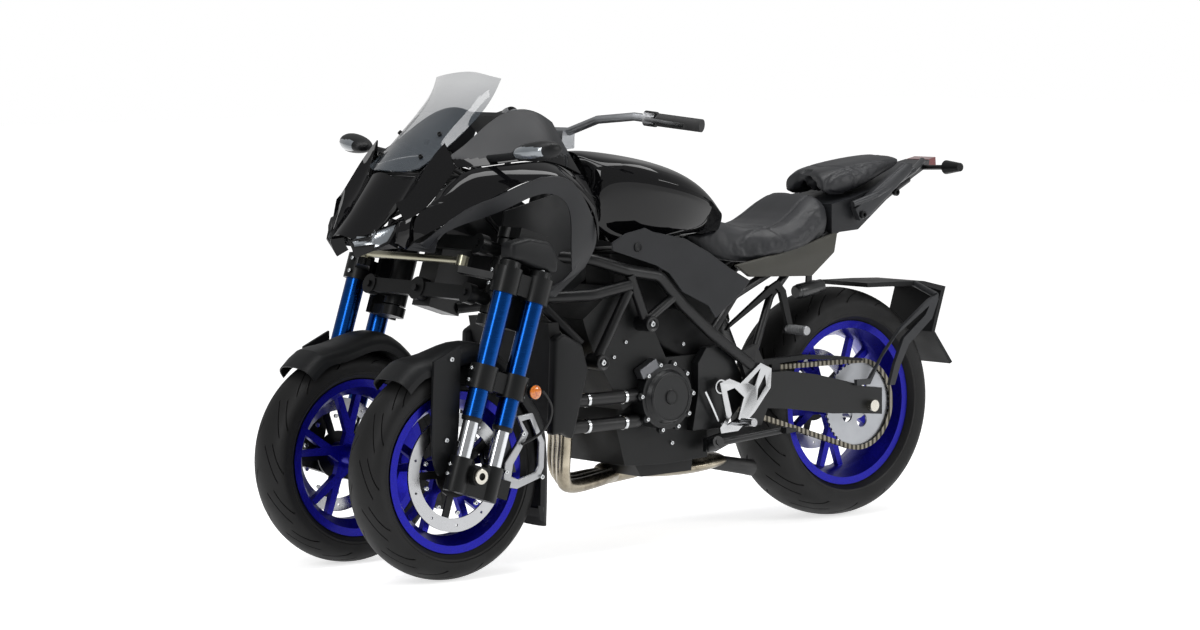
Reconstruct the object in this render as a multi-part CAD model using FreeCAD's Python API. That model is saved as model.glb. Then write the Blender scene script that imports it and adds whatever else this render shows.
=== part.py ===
import FreeCAD, Part
import math
import os

# Leaning reverse trike: two steered front wheels on twin-tube forks and one driven rear wheel.
# Millimetres and degrees. +X is forward, +Y is the rider's left and +Z is up; the origin is on
# the ground at the middle of the overall length. The machine stands upright on its three wheels.

# Stance
FRONT_AXLE_X = 858
WHEELBASE = 1510
TRACK = 410
MIDDLE_AHEAD = 43.8
RAKE_ANGLE = 18.5
KINGPIN_LEAD = 24.4
CLEARANCE = 0.3
RUNNING_CLEARANCE = 0.08
OVERRUN = 20
PANEL_STEPS = 2
RING_SEGMENTS = 64
BODY_STEPS = 2
STAY_RADIUS = 7
STAY_PAD_RADIUS = 7.5
STAY_PAD_THICKNESS = 10

# Front wheels
FRONT_TYRE_RADIUS = 274.5
FRONT_TYRE_WIDTH = 122
FRONT_RIM_RADIUS = 203.5
FRONT_RIM_WIDTH = 100
FRONT_DISC_RADIUS = 149
FRONT_HUB_RADIUS = 34
FRONT_SPOKES = 5

# Rear wheel
REAR_TYRE_RADIUS = 320
REAR_TYRE_WIDTH = 194
REAR_RIM_RADIUS = 229
REAR_RIM_WIDTH = 154
REAR_DISC_RADIUS = 141
REAR_HUB_RADIUS = 42
REAR_SPOKES = 5

# Wheel details
RIM_WALL = 6
RIM_FLANGE_HEIGHT = 14
RIM_WELL_DEPTH = 22
TYRE_BEAD_WIDTH = 14
SPOKE_THICKNESS = 17
SPOKE_WIDTH = 24
AXLE_RADIUS = 11
DISC_THICKNESS = 5
DISC_BAND = 34
DISC_CARRIER_RADIUS = 62
AXLE_NUT_RADIUS = 16
AXLE_NUT_LENGTH = 18

# Chain drive
CHAIN_PITCH = 15.875
REAR_SPROCKET_TEETH = 48
FRONT_SPROCKET_TEETH = 16
FRONT_SPROCKET_X = -140
FRONT_SPROCKET_Z = 405
CHAIN_LINE_Y = 114
CHAIN_PLATE_HEIGHT = 13
CHAIN_PLATE_THICKNESS = 2.4
CHAIN_ROLLER_RADIUS = 5
CHAIN_WIDTH = 21
SPROCKET_THICKNESS = 6.4
TOOTH_HEIGHT = 4

# Forks, along and across each kingpin axis
FORK_TUBE_OFFSET = 108
FORK_FRONT_LEAD = 62
FORK_REAR_TRAIL = 39
FORK_OUTER_RADIUS = 26
FORK_INNER_RADIUS = 20.5
FORK_TOP = 536
FORK_SEAL = 133
FORK_FOOT = -8
FORK_CLAMP_WALL = 9
UPPER_CLAMP_LOW = 458
UPPER_CLAMP_HIGH = 524
MIDDLE_CLAMP_LOW = 210
MIDDLE_CLAMP_HIGH = 272
AXLE_BRACKET_LOW = -52
AXLE_BRACKET_HIGH = 36

# Kingpins and lean linkage
KINGPIN_RADIUS = 14
POST_RADIUS = 30
POST_LOW = 412
POST_HIGH = 606
YOKE_THICKNESS = 26
YOKE_GAP = 4
LOWER_ARM_HEIGHT = 445
UPPER_ARM_HEIGHT = 573
ARM_LEAD = 84
ARM_THICKNESS = 26
ARM_DEPTH = 44
ARM_EYE_RADIUS = 30
ARM_PIN_RADIUS = 9
TIE_ROD_LEAD = 128
TIE_ROD_HEIGHT = 542
TIE_ROD_RADIUS = 10
TIE_ROD_BALL_RADIUS = 15
TIE_PIN_RADIUS = 6
STEER_RANGE = 28

# Frame and swingarm
PIVOT_X = -230
PIVOT_Z = 390
FRAME_LENGTH = 680
FRAME_HALF_WIDTH = 190
FRAME_HEIGHT = 420
FRAME_TUBE_RADIUS = 16
FRAME_BRACE_RADIUS = 13
FRAME_HANGER_RADIUS = 14.5
FRAME_PLATE_THICKNESS = 16
FRAME_BEND = 60
SWINGARM_HALF_WIDTH = 168
SWINGARM_THICKNESS = 34

# Engine
ENGINE_REAR_X = -190
ENGINE_FLOOR_Z = 180
ENGINE_LENGTH = 540
ENGINE_HALF_WIDTH = 150
ENGINE_HEIGHT = 560
ENGINE_COVER_DEPTH = 48
CRANK_X = 100
CRANK_Z = 402
CRANK_COVER_RADIUS = 74
CLUTCH_COVER_RADIUS = 98
HEADER_RADIUS = 19
HEADER_SPACING = 78

# Fairing
FAIRING_REAR_X = 370
FAIRING_FLOOR_Z = 690
FAIRING_LENGTH = 660
FAIRING_HALF_WIDTH = 300
FAIRING_HEIGHT = 580
PANEL_WALL = 3.5
SCREEN_WALL = 3.5

# Tank, seats and tail
TANK_REAR_X = -190
TANK_FLOOR_Z = 690
TANK_LENGTH = 480
TANK_HALF_WIDTH = 190
TANK_HEIGHT = 370
SEAT_REAR_X = -700
SEAT_FLOOR_Z = 700
SEAT_LENGTH = 700
SEAT_HALF_WIDTH = 170
SEAT_HEIGHT = 230
TAIL_REAR_X = -1050
TAIL_FLOOR_Z = 780
TAIL_LENGTH = 500
TAIL_HALF_WIDTH = 150
TAIL_HEIGHT = 230

# Handlebar
BAR_RADIUS = 11
BAR_HALF_WIDTH = 425
GRIP_RADIUS = 17
GRIP_LENGTH = 122
STEM_X = 330
STEM_Z = 1060

front_axle_z = FRONT_TYRE_RADIUS
rear_axle_x = FRONT_AXLE_X - WHEELBASE
rear_axle_z = REAR_TYRE_RADIUS
half_track = TRACK / 2
rake_cos = math.cos(math.radians(RAKE_ANGLE))
rake_sin = math.sin(math.radians(RAKE_ANGLE))
X_AXIS = FreeCAD.Vector(1, 0, 0)
Y_AXIS = FreeCAD.Vector(0, 1, 0)
Z_AXIS = FreeCAD.Vector(0, 0, 1)
ORIGIN = FreeCAD.Vector(0, 0, 0)


def vec(x, y, z):
    return FreeCAD.Vector(x, y, z)


def flip(shape):
    """The same piece on the other side of the machine."""
    return shape.mirror(ORIGIN, Y_AXIS)


def both_sides(shapes):
    shapes = shapes if isinstance(shapes, list) else [shapes]
    return shapes + [flip(shape) for shape in shapes]


def fuse(shapes):
    """One solid from pieces that overlap."""
    whole = shapes[0].multiFuse(shapes[1:]) if len(shapes) > 1 else shapes[0]
    return whole.removeSplitter()


def trimmed(shape, *neighbours):
    """A piece cut back from its neighbours, without the crumbs."""
    return max(shape.cut(Part.makeCompound(list(neighbours))).Solids, key=lambda solid: solid.Volume)


def write(name, shapes):
    """Save one node from a solid or a list of solids."""
    shapes = shapes if isinstance(shapes, list) else [shapes]
    solids = [solid for shape in shapes for solid in shape.Solids]
    body = solids[0] if len(solids) == 1 else Part.makeCompound(solids)
    body.translated(vec(-MIDDLE_AHEAD, 0, 0)).exportStep("parts/" + name + ".step")


def rod(start, end, radius):
    line = end - start
    return Part.makeCylinder(radius, line.Length, start, line)


def cross_rod(x, z, y_from, y_to, radius):
    return rod(vec(x, y_from, z), vec(x, y_to, z), radius)


def cone(start, end, start_radius, end_radius):
    line = end - start
    return Part.makeCone(start_radius, end_radius, line.Length, start, line)


def rounded_path(points, radius):
    """Straight runs joined by tangent arcs."""
    edges = []
    start = points[0]
    for here, corner, there in zip(points, points[1:], points[2:]):
        before = (here - corner).normalize()
        after = (there - corner).normalize()
        half_turn = before.getAngle(after) / 2
        reach = radius / math.tan(half_turn)
        first = corner + before * reach
        last = corner + after * reach
        inward = (before + after).normalize()
        middle = corner + inward * (radius / math.sin(half_turn) - radius)
        edges.append(Part.LineSegment(start, first).toShape())
        edges.append(Part.Arc(first, middle, last).toShape())
        start = last
    edges.append(Part.LineSegment(start, points[-1]).toShape())
    return Part.Wire(edges)


def bent_rod(points, bend, radius):
    """A round bar or closed tube along straight runs and tangent arcs."""
    path = rounded_path(points, bend)
    line = points[1] - points[0]
    section = Part.Wire(Part.makeCircle(radius, points[0], line))
    return Part.Wire(path).makePipeShell([section], True, False)


def slab(outline, y_from, y_to):
    """A closed outline of (x, z) points, made a plate between two heights of y."""
    points = [vec(x, y_from, z) for x, z in outline]
    face = Part.Face(Part.makePolygon(points + points[:1]))
    return face.extrude(vec(0, y_to - y_from, 0))


def turned(profile, centre_x, centre_y, centre_z):
    """A solid turned about the crosswise axis from (radius, y) points."""
    points = [vec(centre_x + radius, centre_y + y, centre_z) for radius, y in profile]
    face = Part.Face(Part.makePolygon(points + points[:1]))
    return face.revolve(vec(centre_x, 0, centre_z), Y_AXIS, 360)


def loft(sections, ruled=False):
    wires = [Part.makePolygon(points + points[:1]) for points in sections]
    return Part.makeLoft(wires, True, ruled)


def grid_normals(grid):
    rows, columns = len(grid), len(grid[0])
    normals = []
    for i in range(rows):
        line = []
        for j in range(columns):
            down = grid[min(i + 1, rows - 1)][j] - grid[max(i - 1, 0)][j]
            along = grid[i][min(j + 1, columns - 1)] - grid[i][max(j - 1, 0)]
            line.append(down.cross(along).normalize())
        normals.append(line)
    return normals


def skin(grid):
    surface = Part.BSplineSurface()
    surface.interpolate(grid)
    return surface


def sampled(grid, steps):
    """The grid made finer along the smooth surface through it."""
    surface = skin(grid)
    u_low, u_high, v_low, v_high = surface.bounds()
    rows, columns = (len(grid) - 1) * steps, (len(grid[0]) - 1) * steps
    return [[surface.value(u_low + (u_high - u_low) * i / rows, v_low + (v_high - v_low) * j / columns)
             for j in range(columns + 1)] for i in range(rows + 1)]


def faceted(corners):
    """A closed body from flat faces, each given by its corner points."""
    return sewn([(face[0], b, c) for face in corners for b, c in zip(face[1:], face[2:])])


def sewn(corners):
    """A closed body from faces whose corners already lie in one plane."""
    flat = [Part.Face(Part.makePolygon(list(face) + [face[0]])) for face in corners]
    shell = Part.Shell(flat)
    shell.sewShape()
    body = Part.makeSolid(shell)
    return body if body.Volume > 0 else body.reversed()


def wheel_ring(profile, x, y, z):
    """A ring about the crosswise axis from (radius, y) points, in flat segments."""
    grid = []
    for number in range(RING_SEGMENTS):
        turn = 2 * math.pi * number / RING_SEGMENTS
        grid.append([vec(x + r * math.cos(turn), y + side, z + r * math.sin(turn)) for r, side in profile])
    corners = []
    for line, after in zip(grid, grid[1:] + grid[:1]):
        corners += list(zip(line, after, after[1:] + after[:1], line[1:] + line[:1]))
    return sewn(corners)


def panel(grid, wall):
    """A moulded panel: the grid is its outer face, and the wall grows to the inner side."""
    outer = sampled(grid, PANEL_STEPS)
    inner = [[point - normal * wall for point, normal in zip(line, side)]
             for line, side in zip(outer, grid_normals(outer))]
    corners = []
    for face in (outer, inner):
        for line, after in zip(face, face[1:]):
            corners += list(zip(line, after, after[1:], line[1:]))
    for out, back in ((outer[0], inner[0]), (outer[-1], inner[-1]),
                      ([line[0] for line in outer], [line[0] for line in inner]),
                      ([line[-1] for line in outer], [line[-1] for line in inner])):
        corners += list(zip(out, out[1:], back[1:], back))
    return faceted(corners)


def skinned(rings):
    """A closed body through rings of points, smooth between them, with flat ends."""
    grid = sampled([ring + ring[:1] for ring in rings], BODY_STEPS)
    corners = []
    for ring, after in zip(grid, grid[1:]):
        corners += list(zip(ring, after, after[1:], ring[1:]))
    for ring in (grid[0], grid[-1]):
        middle = sum(ring[1:-1], ring[0]) / (len(ring) - 1)
        corners += [(middle, a, b) for a, b in zip(ring, ring[1:])]
    return faceted(corners)


def padded_stay(start, seat, normal, target):
    """A stay from a start point to a round pad that ends on a panel's inner face."""
    inner = seat - normal * STAY_PAD_THICKNESS
    return [rod(start, inner, STAY_RADIUS), trimmed(rod(inner, seat, STAY_PAD_RADIUS), target)]


def grid_stay(start, grid, row, column, target):
    normal = grid_normals(grid)[row][column]
    return padded_stay(start, grid[row][column] - normal, normal, target)


def in_box(box, share):
    """A point from its shares of a box: rear x, floor z, length, half width and height."""
    rear_x, floor_z, length, half_width, height = box
    return vec(rear_x + share[0] * length, share[1] * half_width, floor_z + share[2] * height)


def line_in_box(box, shares):
    return [in_box(box, share) for share in shares]


def outline_in_box(box, shares):
    rear_x, floor_z, length, half_width, height = box
    return [(rear_x + x * length, floor_z + z * height) for x, z in shares]


def grid_in_box(box, rows):
    return [line_in_box(box, row) for row in rows]


FAIRING_BOX = (FAIRING_REAR_X, FAIRING_FLOOR_Z, FAIRING_LENGTH, FAIRING_HALF_WIDTH, FAIRING_HEIGHT)
FRAME_BOX = (PIVOT_X, PIVOT_Z, FRAME_LENGTH, FRAME_HALF_WIDTH, FRAME_HEIGHT)
ENGINE_BOX = (ENGINE_REAR_X, ENGINE_FLOOR_Z, ENGINE_LENGTH, ENGINE_HALF_WIDTH, ENGINE_HEIGHT)
TANK_BOX = (TANK_REAR_X, TANK_FLOOR_Z, TANK_LENGTH, TANK_HALF_WIDTH, TANK_HEIGHT)
SEAT_BOX = (SEAT_REAR_X, SEAT_FLOOR_Z, SEAT_LENGTH, SEAT_HALF_WIDTH, SEAT_HEIGHT)
TAIL_BOX = (TAIL_REAR_X, TAIL_FLOOR_Z, TAIL_LENGTH, TAIL_HALF_WIDTH, TAIL_HEIGHT)

KING_FOOT_X = FRONT_AXLE_X - KINGPIN_LEAD * rake_cos
KING_FOOT_Z = front_axle_z - KINGPIN_LEAD * rake_sin


def king(lead, across, height):
    """A point from the kingpin axes: distance ahead of them, y, and height along them."""
    x = KING_FOOT_X + lead * rake_cos - height * rake_sin
    z = KING_FOOT_Z + lead * rake_sin + height * rake_cos
    return vec(x, across, z)


def king_rod(lead, across, low, high, radius):
    return rod(king(lead, across, low), king(lead, across, high), radius)


def lead_rod(start, end, across, height, radius):
    return rod(king(start, across, height), king(end, across, height), radius)


def king_block(leads, acrosses, heights):
    """A block square to the kingpin axes."""
    corners = [king(leads[0], across, height) for across, height in
               ((acrosses[0], heights[0]), (acrosses[1], heights[0]),
                (acrosses[1], heights[1]), (acrosses[0], heights[1]))]
    face = Part.Face(Part.makePolygon(corners + corners[:1]))
    return face.extrude(king(leads[1], 0, 0) - king(leads[0], 0, 0))


def king_slab(outline, y_from, y_to):
    """A plate between two heights of y from (lead, height) points."""
    points = [king(lead, y_from, height) for lead, height in outline]
    face = Part.Face(Part.makePolygon(points + points[:1]))
    return face.extrude(vec(0, y_to - y_from, 0))


# Tyres: a round crown, a thin side wall and a bead that seats on the rim
TYRE_WALL = 10
TYRE_SHOULDER_SHARE = 0.46


def tyre(x, y, z, radius, width, rim_radius, rim_width):
    bead = rim_radius - RIM_FLANGE_HEIGHT + CLEARANCE
    shoulder = rim_radius + (radius - rim_radius) * TYRE_SHOULDER_SHARE
    half = width / 2
    bead_half = rim_width / 2 - RIM_WALL - CLEARANCE
    lip = rim_radius + CLEARANCE

    def crown(rise_to, side, steps):
        """Points over the crown from one shoulder to the other."""
        turns = [math.pi / 2 * step / steps for step in range(-steps, steps + 1)]
        return [(shoulder + (rise_to - shoulder) * math.cos(turn), side * math.sin(turn)) for turn in turns]
    lip_right = [(lip, bead_half), (bead, bead_half), (bead, bead_half - TYRE_WALL)]
    lip_left = [(r, -side) for r, side in reversed(lip_right)]
    profile = crown(radius, half, 3) + lip_right + crown(radius - TYRE_WALL, TYRE_WALL - half, 2) + lip_left
    return wheel_ring(profile, x, y, z)


# Rims: a dropped barrel, V pairs of spokes and a bored hub
RIM_WELL_SHARE = 0.3
RIM_SEAT_SHARE = 0.62
SPOKE_SPREAD = 11
SPOKE_ROOT_SPREAD = 16


def rim(x, y, z, radius, width, hub_radius, hub_half, spokes, turn):
    half = width / 2
    flange = RIM_WALL / 2
    seat = radius - RIM_FLANGE_HEIGHT
    well = seat - RIM_WELL_DEPTH
    seat_y = half * RIM_SEAT_SHARE
    well_y = half * RIM_WELL_SHARE
    left = [(radius, half), (radius, half - flange), (seat, half - RIM_WALL), (seat, seat_y),
            (well, well_y)]
    under = [(well - RIM_WALL, well_y), (seat - RIM_WALL, half)]
    outer = left + [(r, -side) for r, side in reversed(left)]
    inner = [(r, -side) for r, side in reversed(under)] + under
    pieces = [turned(outer + inner, x, y, z)]
    pieces.append(cross_rod(x, z, y - hub_half, y + hub_half, hub_radius))
    half_spoke = SPOKE_THICKNESS / 2
    reach = well - RIM_WALL / 2
    for number in range(spokes):
        for side in (-1, 1):
            angle = turn + number * 360 / spokes
            root = math.radians(angle - side * SPOKE_ROOT_SPREAD)
            tip = math.radians(angle + side * SPOKE_SPREAD)
            start = vec(x + hub_radius * math.cos(root), 0, z + hub_radius * math.sin(root))
            end = vec(x + reach * math.cos(tip), 0, z + reach * math.sin(tip))
            along = (end - start).normalize()
            start = start - along * (hub_radius / 2)
            wide = vec(-along.z, 0, along.x) * (SPOKE_WIDTH / 2)
            slim = wide * (SPOKE_THICKNESS / SPOKE_WIDTH)
            outline = [(p.x, p.z) for p in (start + wide, end + slim, end - slim, start - wide)]
            pieces.append(slab(outline, y - half_spoke, y + half_spoke))
    bore = cross_rod(x, z, y - hub_half - OVERRUN, y + hub_half + OVERRUN,
                     AXLE_RADIUS + RUNNING_CLEARANCE)
    return fuse(pieces).cut(bore)


# Brake discs: a drilled band on a carrier with arms
DISC_HOLE_RADIUS = 3.5
DISC_HOLES = 10
DISC_ARMS = 5
DISC_ARM_WIDTH = 20


def brake_disc(x, y, z, radius, carrier_radius, bore_radius):
    low, high = y - DISC_THICKNESS / 2, y + DISC_THICKNESS / 2
    band = cross_rod(x, z, low, high, radius).cut(cross_rod(x, z, low, high, radius - DISC_BAND))
    carrier = cross_rod(x, z, low, high, carrier_radius)
    arms = []
    for number in range(DISC_ARMS):
        angle = 360 / DISC_ARMS * number
        reach = radius - DISC_BAND / 2
        arm = Part.makeBox(reach, DISC_THICKNESS, DISC_ARM_WIDTH,
                           vec(x, low, z - DISC_ARM_WIDTH / 2))
        arm.rotate(vec(x, y, z), Y_AXIS, angle)
        arms.append(arm)
    disc = fuse([band, carrier] + arms)
    holes = []
    for number in range(DISC_HOLES):
        angle = 2 * math.pi * (number + 0.5) / DISC_HOLES
        reach = radius - DISC_BAND / 2
        holes.append(cross_rod(x + reach * math.cos(angle), z + reach * math.sin(angle),
                               low, high, DISC_HOLE_RADIUS))
    disc = disc.cut(Part.makeCompound(holes))
    return disc.cut(cross_rod(x, z, low, high, bore_radius))


FRONT_HUB_HALF = 46
FRONT_DISC_Y = FRONT_HUB_HALF + DISC_THICKNESS / 2
front_rim = rim(FRONT_AXLE_X, half_track, front_axle_z, FRONT_RIM_RADIUS, FRONT_RIM_WIDTH,
                FRONT_HUB_RADIUS, FRONT_HUB_HALF, FRONT_SPOKES, 18)
front_tyre = tyre(FRONT_AXLE_X, half_track, front_axle_z, FRONT_TYRE_RADIUS, FRONT_TYRE_WIDTH,
                  FRONT_RIM_RADIUS, FRONT_RIM_WIDTH)
front_disc = brake_disc(FRONT_AXLE_X, half_track + FRONT_DISC_Y, front_axle_z, FRONT_DISC_RADIUS,
                        DISC_CARRIER_RADIUS, AXLE_RADIUS + CLEARANCE)

REAR_HUB_HALF = 62
rear_rim = rim(rear_axle_x, 0, rear_axle_z, REAR_RIM_RADIUS, REAR_RIM_WIDTH, REAR_HUB_RADIUS,
               REAR_HUB_HALF, REAR_SPOKES, 54)
rear_tyre = tyre(rear_axle_x, 0, rear_axle_z, REAR_TYRE_RADIUS, REAR_TYRE_WIDTH, REAR_RIM_RADIUS,
                 REAR_RIM_WIDTH)
rear_disc = brake_disc(rear_axle_x, -REAR_HUB_HALF - DISC_THICKNESS / 2, rear_axle_z,
                       REAR_DISC_RADIUS, DISC_CARRIER_RADIUS, AXLE_RADIUS + CLEARANCE)

# Rear sprocket: toothed plate on a carrier drum beside the hub
SPROCKET_WEB_SHARE = 0.72
SPROCKET_HOLES = 5
SPROCKET_HOLE_RADIUS = 19
TOOTH_GAP_SHARE = 0.75


def pitch_radius(teeth):
    return CHAIN_PITCH / (2 * math.sin(math.pi / teeth))


def sprocket(x, z, y, teeth, bore_radius):
    root = pitch_radius(teeth) - CHAIN_ROLLER_RADIUS - CLEARANCE
    tip = root + TOOTH_HEIGHT
    points = []
    for number in range(teeth):
        for share, radius in ((0.12, tip), (0.38, tip), (0.55, root), (0.95, root)):
            angle = 2 * math.pi * (number + share) / teeth
            points.append((x + radius * math.cos(angle), z + radius * math.sin(angle)))
    low, high = y - SPROCKET_THICKNESS / 2, y + SPROCKET_THICKNESS / 2
    plate = slab(points, low, high)
    cuts = [cross_rod(x, z, low, high, bore_radius)]
    return plate, cuts


rear_pitch_radius = pitch_radius(REAR_SPROCKET_TEETH)
front_pitch_radius = pitch_radius(FRONT_SPROCKET_TEETH)
carrier_radius = rear_pitch_radius * SPROCKET_WEB_SHARE
plate, cuts = sprocket(rear_axle_x, rear_axle_z, CHAIN_LINE_Y, REAR_SPROCKET_TEETH,
                       AXLE_RADIUS + CLEARANCE)
for number in range(SPROCKET_HOLES):
    angle = 2 * math.pi * (number + 0.5) / SPROCKET_HOLES
    reach = (carrier_radius + AXLE_RADIUS) / 2
    cuts.append(cross_rod(rear_axle_x + reach * math.cos(angle), rear_axle_z + reach * math.sin(angle),
                          CHAIN_LINE_Y - OVERRUN, CHAIN_LINE_Y + OVERRUN, SPROCKET_HOLE_RADIUS))
drum = cross_rod(rear_axle_x, rear_axle_z, REAR_HUB_HALF + CLEARANCE, CHAIN_LINE_Y, REAR_HUB_RADIUS)
drum_bore = cross_rod(rear_axle_x, rear_axle_z, REAR_HUB_HALF - OVERRUN, CHAIN_LINE_Y,
                      AXLE_RADIUS + CLEARANCE)
rear_sprocket = fuse([plate.cut(Part.makeCompound(cuts)), drum.cut(drum_bore)])

# Drive chain: two side plates right round both sprockets and a roller at every pitch
CHAIN_GAP = 9
front_x, front_z = FRONT_SPROCKET_X, FRONT_SPROCKET_Z
span_x, span_z = front_x - rear_axle_x, front_z - rear_axle_z
span = math.hypot(span_x, span_z)
slope = math.atan2(span_z, span_x)
wrap = math.asin((rear_pitch_radius - front_pitch_radius) / span)


def chain_loop(grow):
    """The loop's outline, grown or shrunk from the pitch line."""
    rear_r, front_r = rear_pitch_radius + grow, front_pitch_radius + grow
    up, down = slope + math.pi / 2 - wrap, slope - math.pi / 2 + wrap

    def on(x, z, r, a):
        return vec(x + r * math.cos(a), 0, z + r * math.sin(a))
    rear_top, rear_low = on(rear_axle_x, rear_axle_z, rear_r, up), on(rear_axle_x, rear_axle_z, rear_r, down)
    front_top, front_low = on(front_x, front_z, front_r, up), on(front_x, front_z, front_r, down)
    rear_end = on(rear_axle_x, rear_axle_z, rear_r, slope + math.pi)
    front_end = on(front_x, front_z, front_r, slope)
    return Part.Wire([Part.LineSegment(rear_top, front_top).toShape(),
                      Part.Arc(front_top, front_end, front_low).toShape(),
                      Part.LineSegment(front_low, rear_low).toShape(),
                      Part.Arc(rear_low, rear_end, rear_top).toShape()])


def chain_plate(y):
    half = CHAIN_PLATE_HEIGHT / 2
    face = Part.Face(chain_loop(half)).cut(Part.Face(chain_loop(-half)))
    plate = face.extrude(vec(0, CHAIN_PLATE_THICKNESS, 0))
    plate.translate(vec(0, y - CHAIN_PLATE_THICKNESS / 2, 0))
    return plate


def on_rear(angle):
    return vec(rear_axle_x + rear_pitch_radius * math.cos(angle), 0,
               rear_axle_z + rear_pitch_radius * math.sin(angle))


tooth_angle = 2 * math.pi / REAR_SPROCKET_TEETH
back_link = round((slope + math.pi) / tooth_angle - TOOTH_GAP_SHARE) + TOOTH_GAP_SHARE
held_links = int((math.pi / 2 + wrap) / tooth_angle)
low_angle = (back_link + held_links) * tooth_angle
top_angle = (back_link - held_links) * tooth_angle
pitch_edges = chain_loop(0).Edges
top_start, low_end = pitch_edges[0].Vertexes[0].Point, pitch_edges[2].Vertexes[1].Point
free_run = Part.Wire([Part.LineSegment(on_rear(top_angle), top_start).toShape()] + pitch_edges[:3]
                     + [Part.LineSegment(low_end, on_rear(low_angle)).toShape()])
free_links = round(free_run.Length / CHAIN_PITCH)
link_points = [on_rear((back_link + step) * tooth_angle)
               for step in range(-held_links, held_links + 1)]
clear_radius = rear_pitch_radius + CHAIN_ROLLER_RADIUS
rear_centre = vec(rear_axle_x, 0, rear_axle_z)
link_points += [point for point in free_run.discretize(Number=free_links + 1)[1:-1]
                if (point - rear_centre).Length > clear_radius]
roller_half = CHAIN_WIDTH / 2 - CHAIN_PLATE_THICKNESS / 2
rollers = []
for point in link_points:
    corners = [(point.x + CHAIN_ROLLER_RADIUS * math.cos(math.pi / 3 * side),
                point.z + CHAIN_ROLLER_RADIUS * math.sin(math.pi / 3 * side)) for side in range(6)]
    rollers.append(slab(corners, CHAIN_LINE_Y - roller_half, CHAIN_LINE_Y + roller_half))
plate_y = CHAIN_WIDTH / 2 - CHAIN_PLATE_THICKNESS / 2
drive_chain = chain_plate(CHAIN_LINE_Y - plate_y).multiFuse([chain_plate(CHAIN_LINE_Y + plate_y)] + rollers)
front_plate, front_cuts = sprocket(front_x, front_z, CHAIN_LINE_Y, FRONT_SPROCKET_TEETH, AXLE_RADIUS)

# Engine: crankcase, forward-leaning cylinders and head in one casting, with covers bolted outside
case_share = [(0.196, 0.571), (0.196, 0.075), (0.463, 0.064), (0.731, 0.075), (0.789, 0.268),
     (0.763, 0.393), (0.463, 0.571)]
sump_share = [(0.237, 0.089), (0.248, 0.007), (0.574, 0.004), (0.63, 0.089)]
gearbox_share = [(0.204, 0.58), (0.022, 0.518), (0.007, 0.214), (0.148, 0.098), (0.204, 0.08)]
cylinder_share = [(0.463, 0.518), (0.77, 0.343), (0.963, 0.643), (1.019, 0.786), (0.815, 0.929),
     (0.657, 0.911), (0.63, 0.821)]
head_share = [(0.63, 0.821), (0.926, 0.625), (1.004, 0.768), (0.741, 0.955)]
case = slab(outline_in_box(ENGINE_BOX, case_share), -ENGINE_HALF_WIDTH + 20, ENGINE_HALF_WIDTH - 20)
cylinders = slab(outline_in_box(ENGINE_BOX, cylinder_share), -ENGINE_HALF_WIDTH, ENGINE_HALF_WIDTH)
gearbox_half = CHAIN_LINE_Y - CHAIN_WIDTH / 2 - 6
gearbox = slab(outline_in_box(ENGINE_BOX, gearbox_share), -ENGINE_HALF_WIDTH + 20, gearbox_half)
output_shaft = cross_rod(FRONT_SPROCKET_X, FRONT_SPROCKET_Z, gearbox_half - 5, CHAIN_LINE_Y, AXLE_RADIUS)
sump = slab(outline_in_box(ENGINE_BOX, sump_share), -14, 96)
engine_block = fuse([case, cylinders, gearbox, output_shaft, sump])

cover_inner = ENGINE_HALF_WIDTH - 20 + CLEARANCE
cover_outer = ENGINE_HALF_WIDTH + ENGINE_COVER_DEPTH
COVER_STEP = 16
left_flange = cross_rod(CRANK_X, CRANK_Z, cover_inner, cover_outer - COVER_STEP, CRANK_COVER_RADIUS + 12)
left_dome = cone(vec(CRANK_X, cover_outer - COVER_STEP - 2, CRANK_Z), vec(CRANK_X, cover_outer, CRANK_Z),
                 CRANK_COVER_RADIUS, CRANK_COVER_RADIUS - 12)
left_cap = cross_rod(CRANK_X, CRANK_Z, cover_outer - 2, cover_outer + 4, 20)
right_flange = flip(cross_rod(CRANK_X - 58, CRANK_Z, cover_inner, cover_outer - COVER_STEP, CLUTCH_COVER_RADIUS))
right_dome = flip(cone(vec(CRANK_X - 58, cover_outer - COVER_STEP - 2, CRANK_Z),
                       vec(CRANK_X - 58, cover_outer, CRANK_Z), CLUTCH_COVER_RADIUS - 12, CLUTCH_COVER_RADIUS - 30))
sprocket_share = [(0.009, 0.464), (0.004, 0.321), (0.13, 0.214), (0.333, 0.214), (0.296, 0.393),
     (0.296, 0.536), (0.241, 0.607), (0.111, 0.607)]
sprocket_cover = slab(outline_in_box(ENGINE_BOX, sprocket_share), CHAIN_LINE_Y + CHAIN_WIDTH / 2 + 6, 156)
engine_covers = [fuse([left_flange, left_dome, left_cap]).cut(engine_block),
                 fuse([right_flange, right_dome]).cut(engine_block)]
engine_covers.append(sprocket_cover)

# Radiator: slanted core with end tanks
RADIATOR_X = 430
RADIATOR_LOW_Z = 330
RADIATOR_HIGH_Z = 620
RADIATOR_HALF_WIDTH = 168
RADIATOR_DEPTH = 34
RADIATOR_SLANT = 26
radiator_outline = [(RADIATOR_X - RADIATOR_SLANT, RADIATOR_LOW_Z),
                    (RADIATOR_X - RADIATOR_SLANT + RADIATOR_DEPTH, RADIATOR_LOW_Z),
                    (RADIATOR_X + RADIATOR_SLANT + RADIATOR_DEPTH, RADIATOR_HIGH_Z),
                    (RADIATOR_X + RADIATOR_SLANT, RADIATOR_HIGH_Z)]
radiator = slab(radiator_outline, -RADIATOR_HALF_WIDTH, RADIATOR_HALF_WIDTH)

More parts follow.
